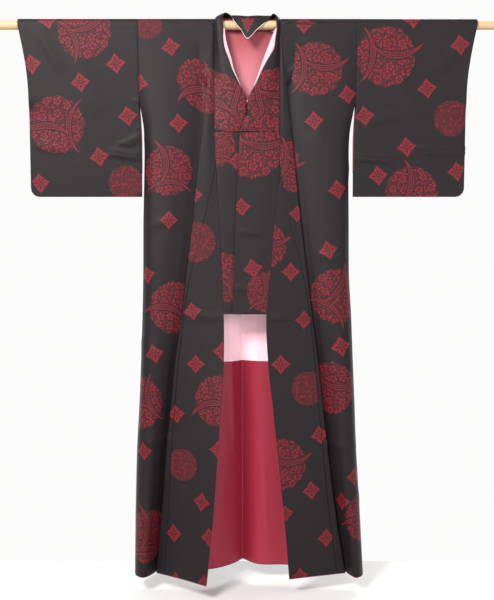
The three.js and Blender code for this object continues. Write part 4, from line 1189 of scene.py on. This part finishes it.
stations = band_stations()
band = through(stations, STRIP_BAND_PLACES, even=False)
runs = np.array([row[1] for row in BAND_ROWS])
sides = np.array([row[0] for row in BAND_ROWS])
for side, name in SIDES:
    rows = [int(np.flatnonzero((sides == side) & (runs == row[0]))[0]) for row in SHOW_ROWS]
    show = sided(SHOW_COLUMNS, SHOW_ROWS, "show", side, np.array([row[0] for row in SHOW_ROWS]))
    root = band[rows, TUCKED_PLACE]
    fold = stations[rows, 2]
    off = unit(np.stack([-side * np.abs(root[:, 1] - fold[:, 1]), np.abs(root[:, 0] - fold[:, 0])], axis=1))
    bend = fold[:, :2] + STRIP_FOLD_OFF * off
    z = root[:, 2:]
    shown_edge = bend + np.stack([-side * show, np.ones(len(show))], axis=1)
    strip = np.stack([np.concatenate([root[:, :2] + STRIP_OFF * off, z], axis=1),
                      np.concatenate([bend, z], axis=1), np.concatenate([shown_edge, z], axis=1)], axis=1)
    strip = through(strip, STRIP_PLACES).transpose(1, 0, 2)
    strip = through(strip, STRIP_LENGTHS).transpose(1, 0, 2)
    lining_wall(f"collar_lining_strip_{name}", strip, collar_silk, f"collar_lining_{name}")

lining_wall("back_body_lining", back_lining_grid(BACK_NECK_DROP - LINING_RAISE, LINING_CHANGE), back_silk,
            "back_lining")
hem = np.array([float(HEM)])
back_hem = np.concatenate([lowered(-1, hem, body_back(-1, hem))[0, ::-1], lowered(1, hem, body_back(1, hem))[0]])
lining_wall("back_skirt_lining", back_lining_grid(LINING_CHANGE, HEM), skirt_silk, "skirt_lining_back",
            with_pieces=[hem_roll("hem_roll_back", back_hem, "skirt_lining_back")])
skirt_depths = np.linspace(LINING_CHANGE + LINING_END_GAP, HEM - LINING_END_GAP, SKIRT_LINING_ROWS)
lining_down = np.linspace(SLEEVE_LINING_DROP, SLEEVE_TOP / SLEEVE_DROP, SLEEVE_LINING_ROWS)
for side, name in SIDES:
    rows = overlap_rows(side, skirt_depths, OVERLAP_PLACES)
    inside = moved_off(rows[:, :, :2], side * LINING_INSET)
    grid = np.concatenate([inside, rows[:, :, 2:]], axis=2)[:, :-SKIRT_LINING_SHORT]
    front_hem = np.concatenate([overlap_rows(side, hem, OVERLAP_PLACES)[0],
                                lowered(side, hem, body_front(side, hem))[0]])
    lining_wall(f"front_skirt_lining_{name}", grid, skirt_silk, f"skirt_lining_{name}",
                with_pieces=[hem_roll(f"hem_roll_{name}", front_hem, f"skirt_lining_{name}")])
    grid = sleeve_grid(side, LINING_INSET, lining_down, sleeve_across[:SLEEVE_LINING_PLACES],
                       lambda depth: mix(*SLEEVE_LINING_EDGE, smooth((depth - ARMHOLE) / SLEEVE_CHANGE)))
    lining_wall(f"sleeve_edge_lining_{name}", grid, sleeve_inside, f"sleeve_lining_{name}")

# Studio: a plain pale floor a little below the hem, and soft light from high up behind the camera.
# The surround is white, so that shadows stay faint.
FLOOR_DROP = 0.05
FLOOR_HALF = 2.5
FLOOR_FRONT = -4.0
FLOOR_BACK = 0.2
FLOOR_PALE = (0.60, 0.595, 0.585, 1)
FLOOR_SHADE = (0.575, 0.57, 0.56, 1)
floor_height = -HEM * MM - FLOOR_DROP
floor_mesh = bpy.data.meshes.new("floor")
floor_mesh.from_pydata([(-FLOOR_HALF, FLOOR_FRONT, floor_height), (FLOOR_HALF, FLOOR_FRONT, floor_height),
                        (FLOOR_HALF, FLOOR_BACK, floor_height), (-FLOOR_HALF, FLOOR_BACK, floor_height)],
                       [], [(0, 1, 2, 3)])
floor = bpy.data.objects.new("floor", floor_mesh)


def pale_board(start):
    """A painted board whose colour and roughness follow one soft noise."""
    uneven = start.node("TexNoise", {}, {"Vector": start.node("TexCoord", {}, {}, 3), "Scale": 3.0})
    return uneven.between(FLOOR_SHADE, FLOOR_PALE), uneven * 0.1 + 0.6, uneven


floor_mesh.materials.append(finish_of("floor_white", pale_board, 0.0001, {}))
bpy.context.scene.collection.objects.link(floor)

LAMP_AIM = Vector((0, 0, -0.7))
LAMPS = [
    ("key", (-1.5, -2.7, 1.5), 1.1, 215, (1.0, 0.985, 0.965)),
    ("fill", (1.6, -3.0, 0.0), 1.6, 45, (0.97, 0.985, 1.0)),
    ("back", (1.6, 3.0, 1.9), 1.6, 110, (1.0, 0.99, 0.98)),
]
for name, place, size, power, tint in LAMPS:
    light = bpy.data.lights.new(name, "AREA")
    light.shape = "SQUARE"
    light.size = size
    light.energy = power
    light.color = tint
    lamp = bpy.data.objects.new(name, light)
    lamp.location = place
    lamp.rotation_euler = (LAMP_AIM - Vector(place)).to_track_quat("-Z", "Y").to_euler()
    bpy.context.scene.collection.objects.link(lamp)

SURROUND = (0.97, 0.97, 0.965, 1)
SURROUND_STRENGTH = 1.0
world = bpy.data.worlds.new("surround")
world.use_nodes = True
world.node_tree.nodes["Background"].inputs["Color"].default_value = SURROUND
world.node_tree.nodes["Background"].inputs["Strength"].default_value = SURROUND_STRENGTH
bpy.context.scene.world = world
bpy.context.scene.view_settings.view_transform = "Standard"
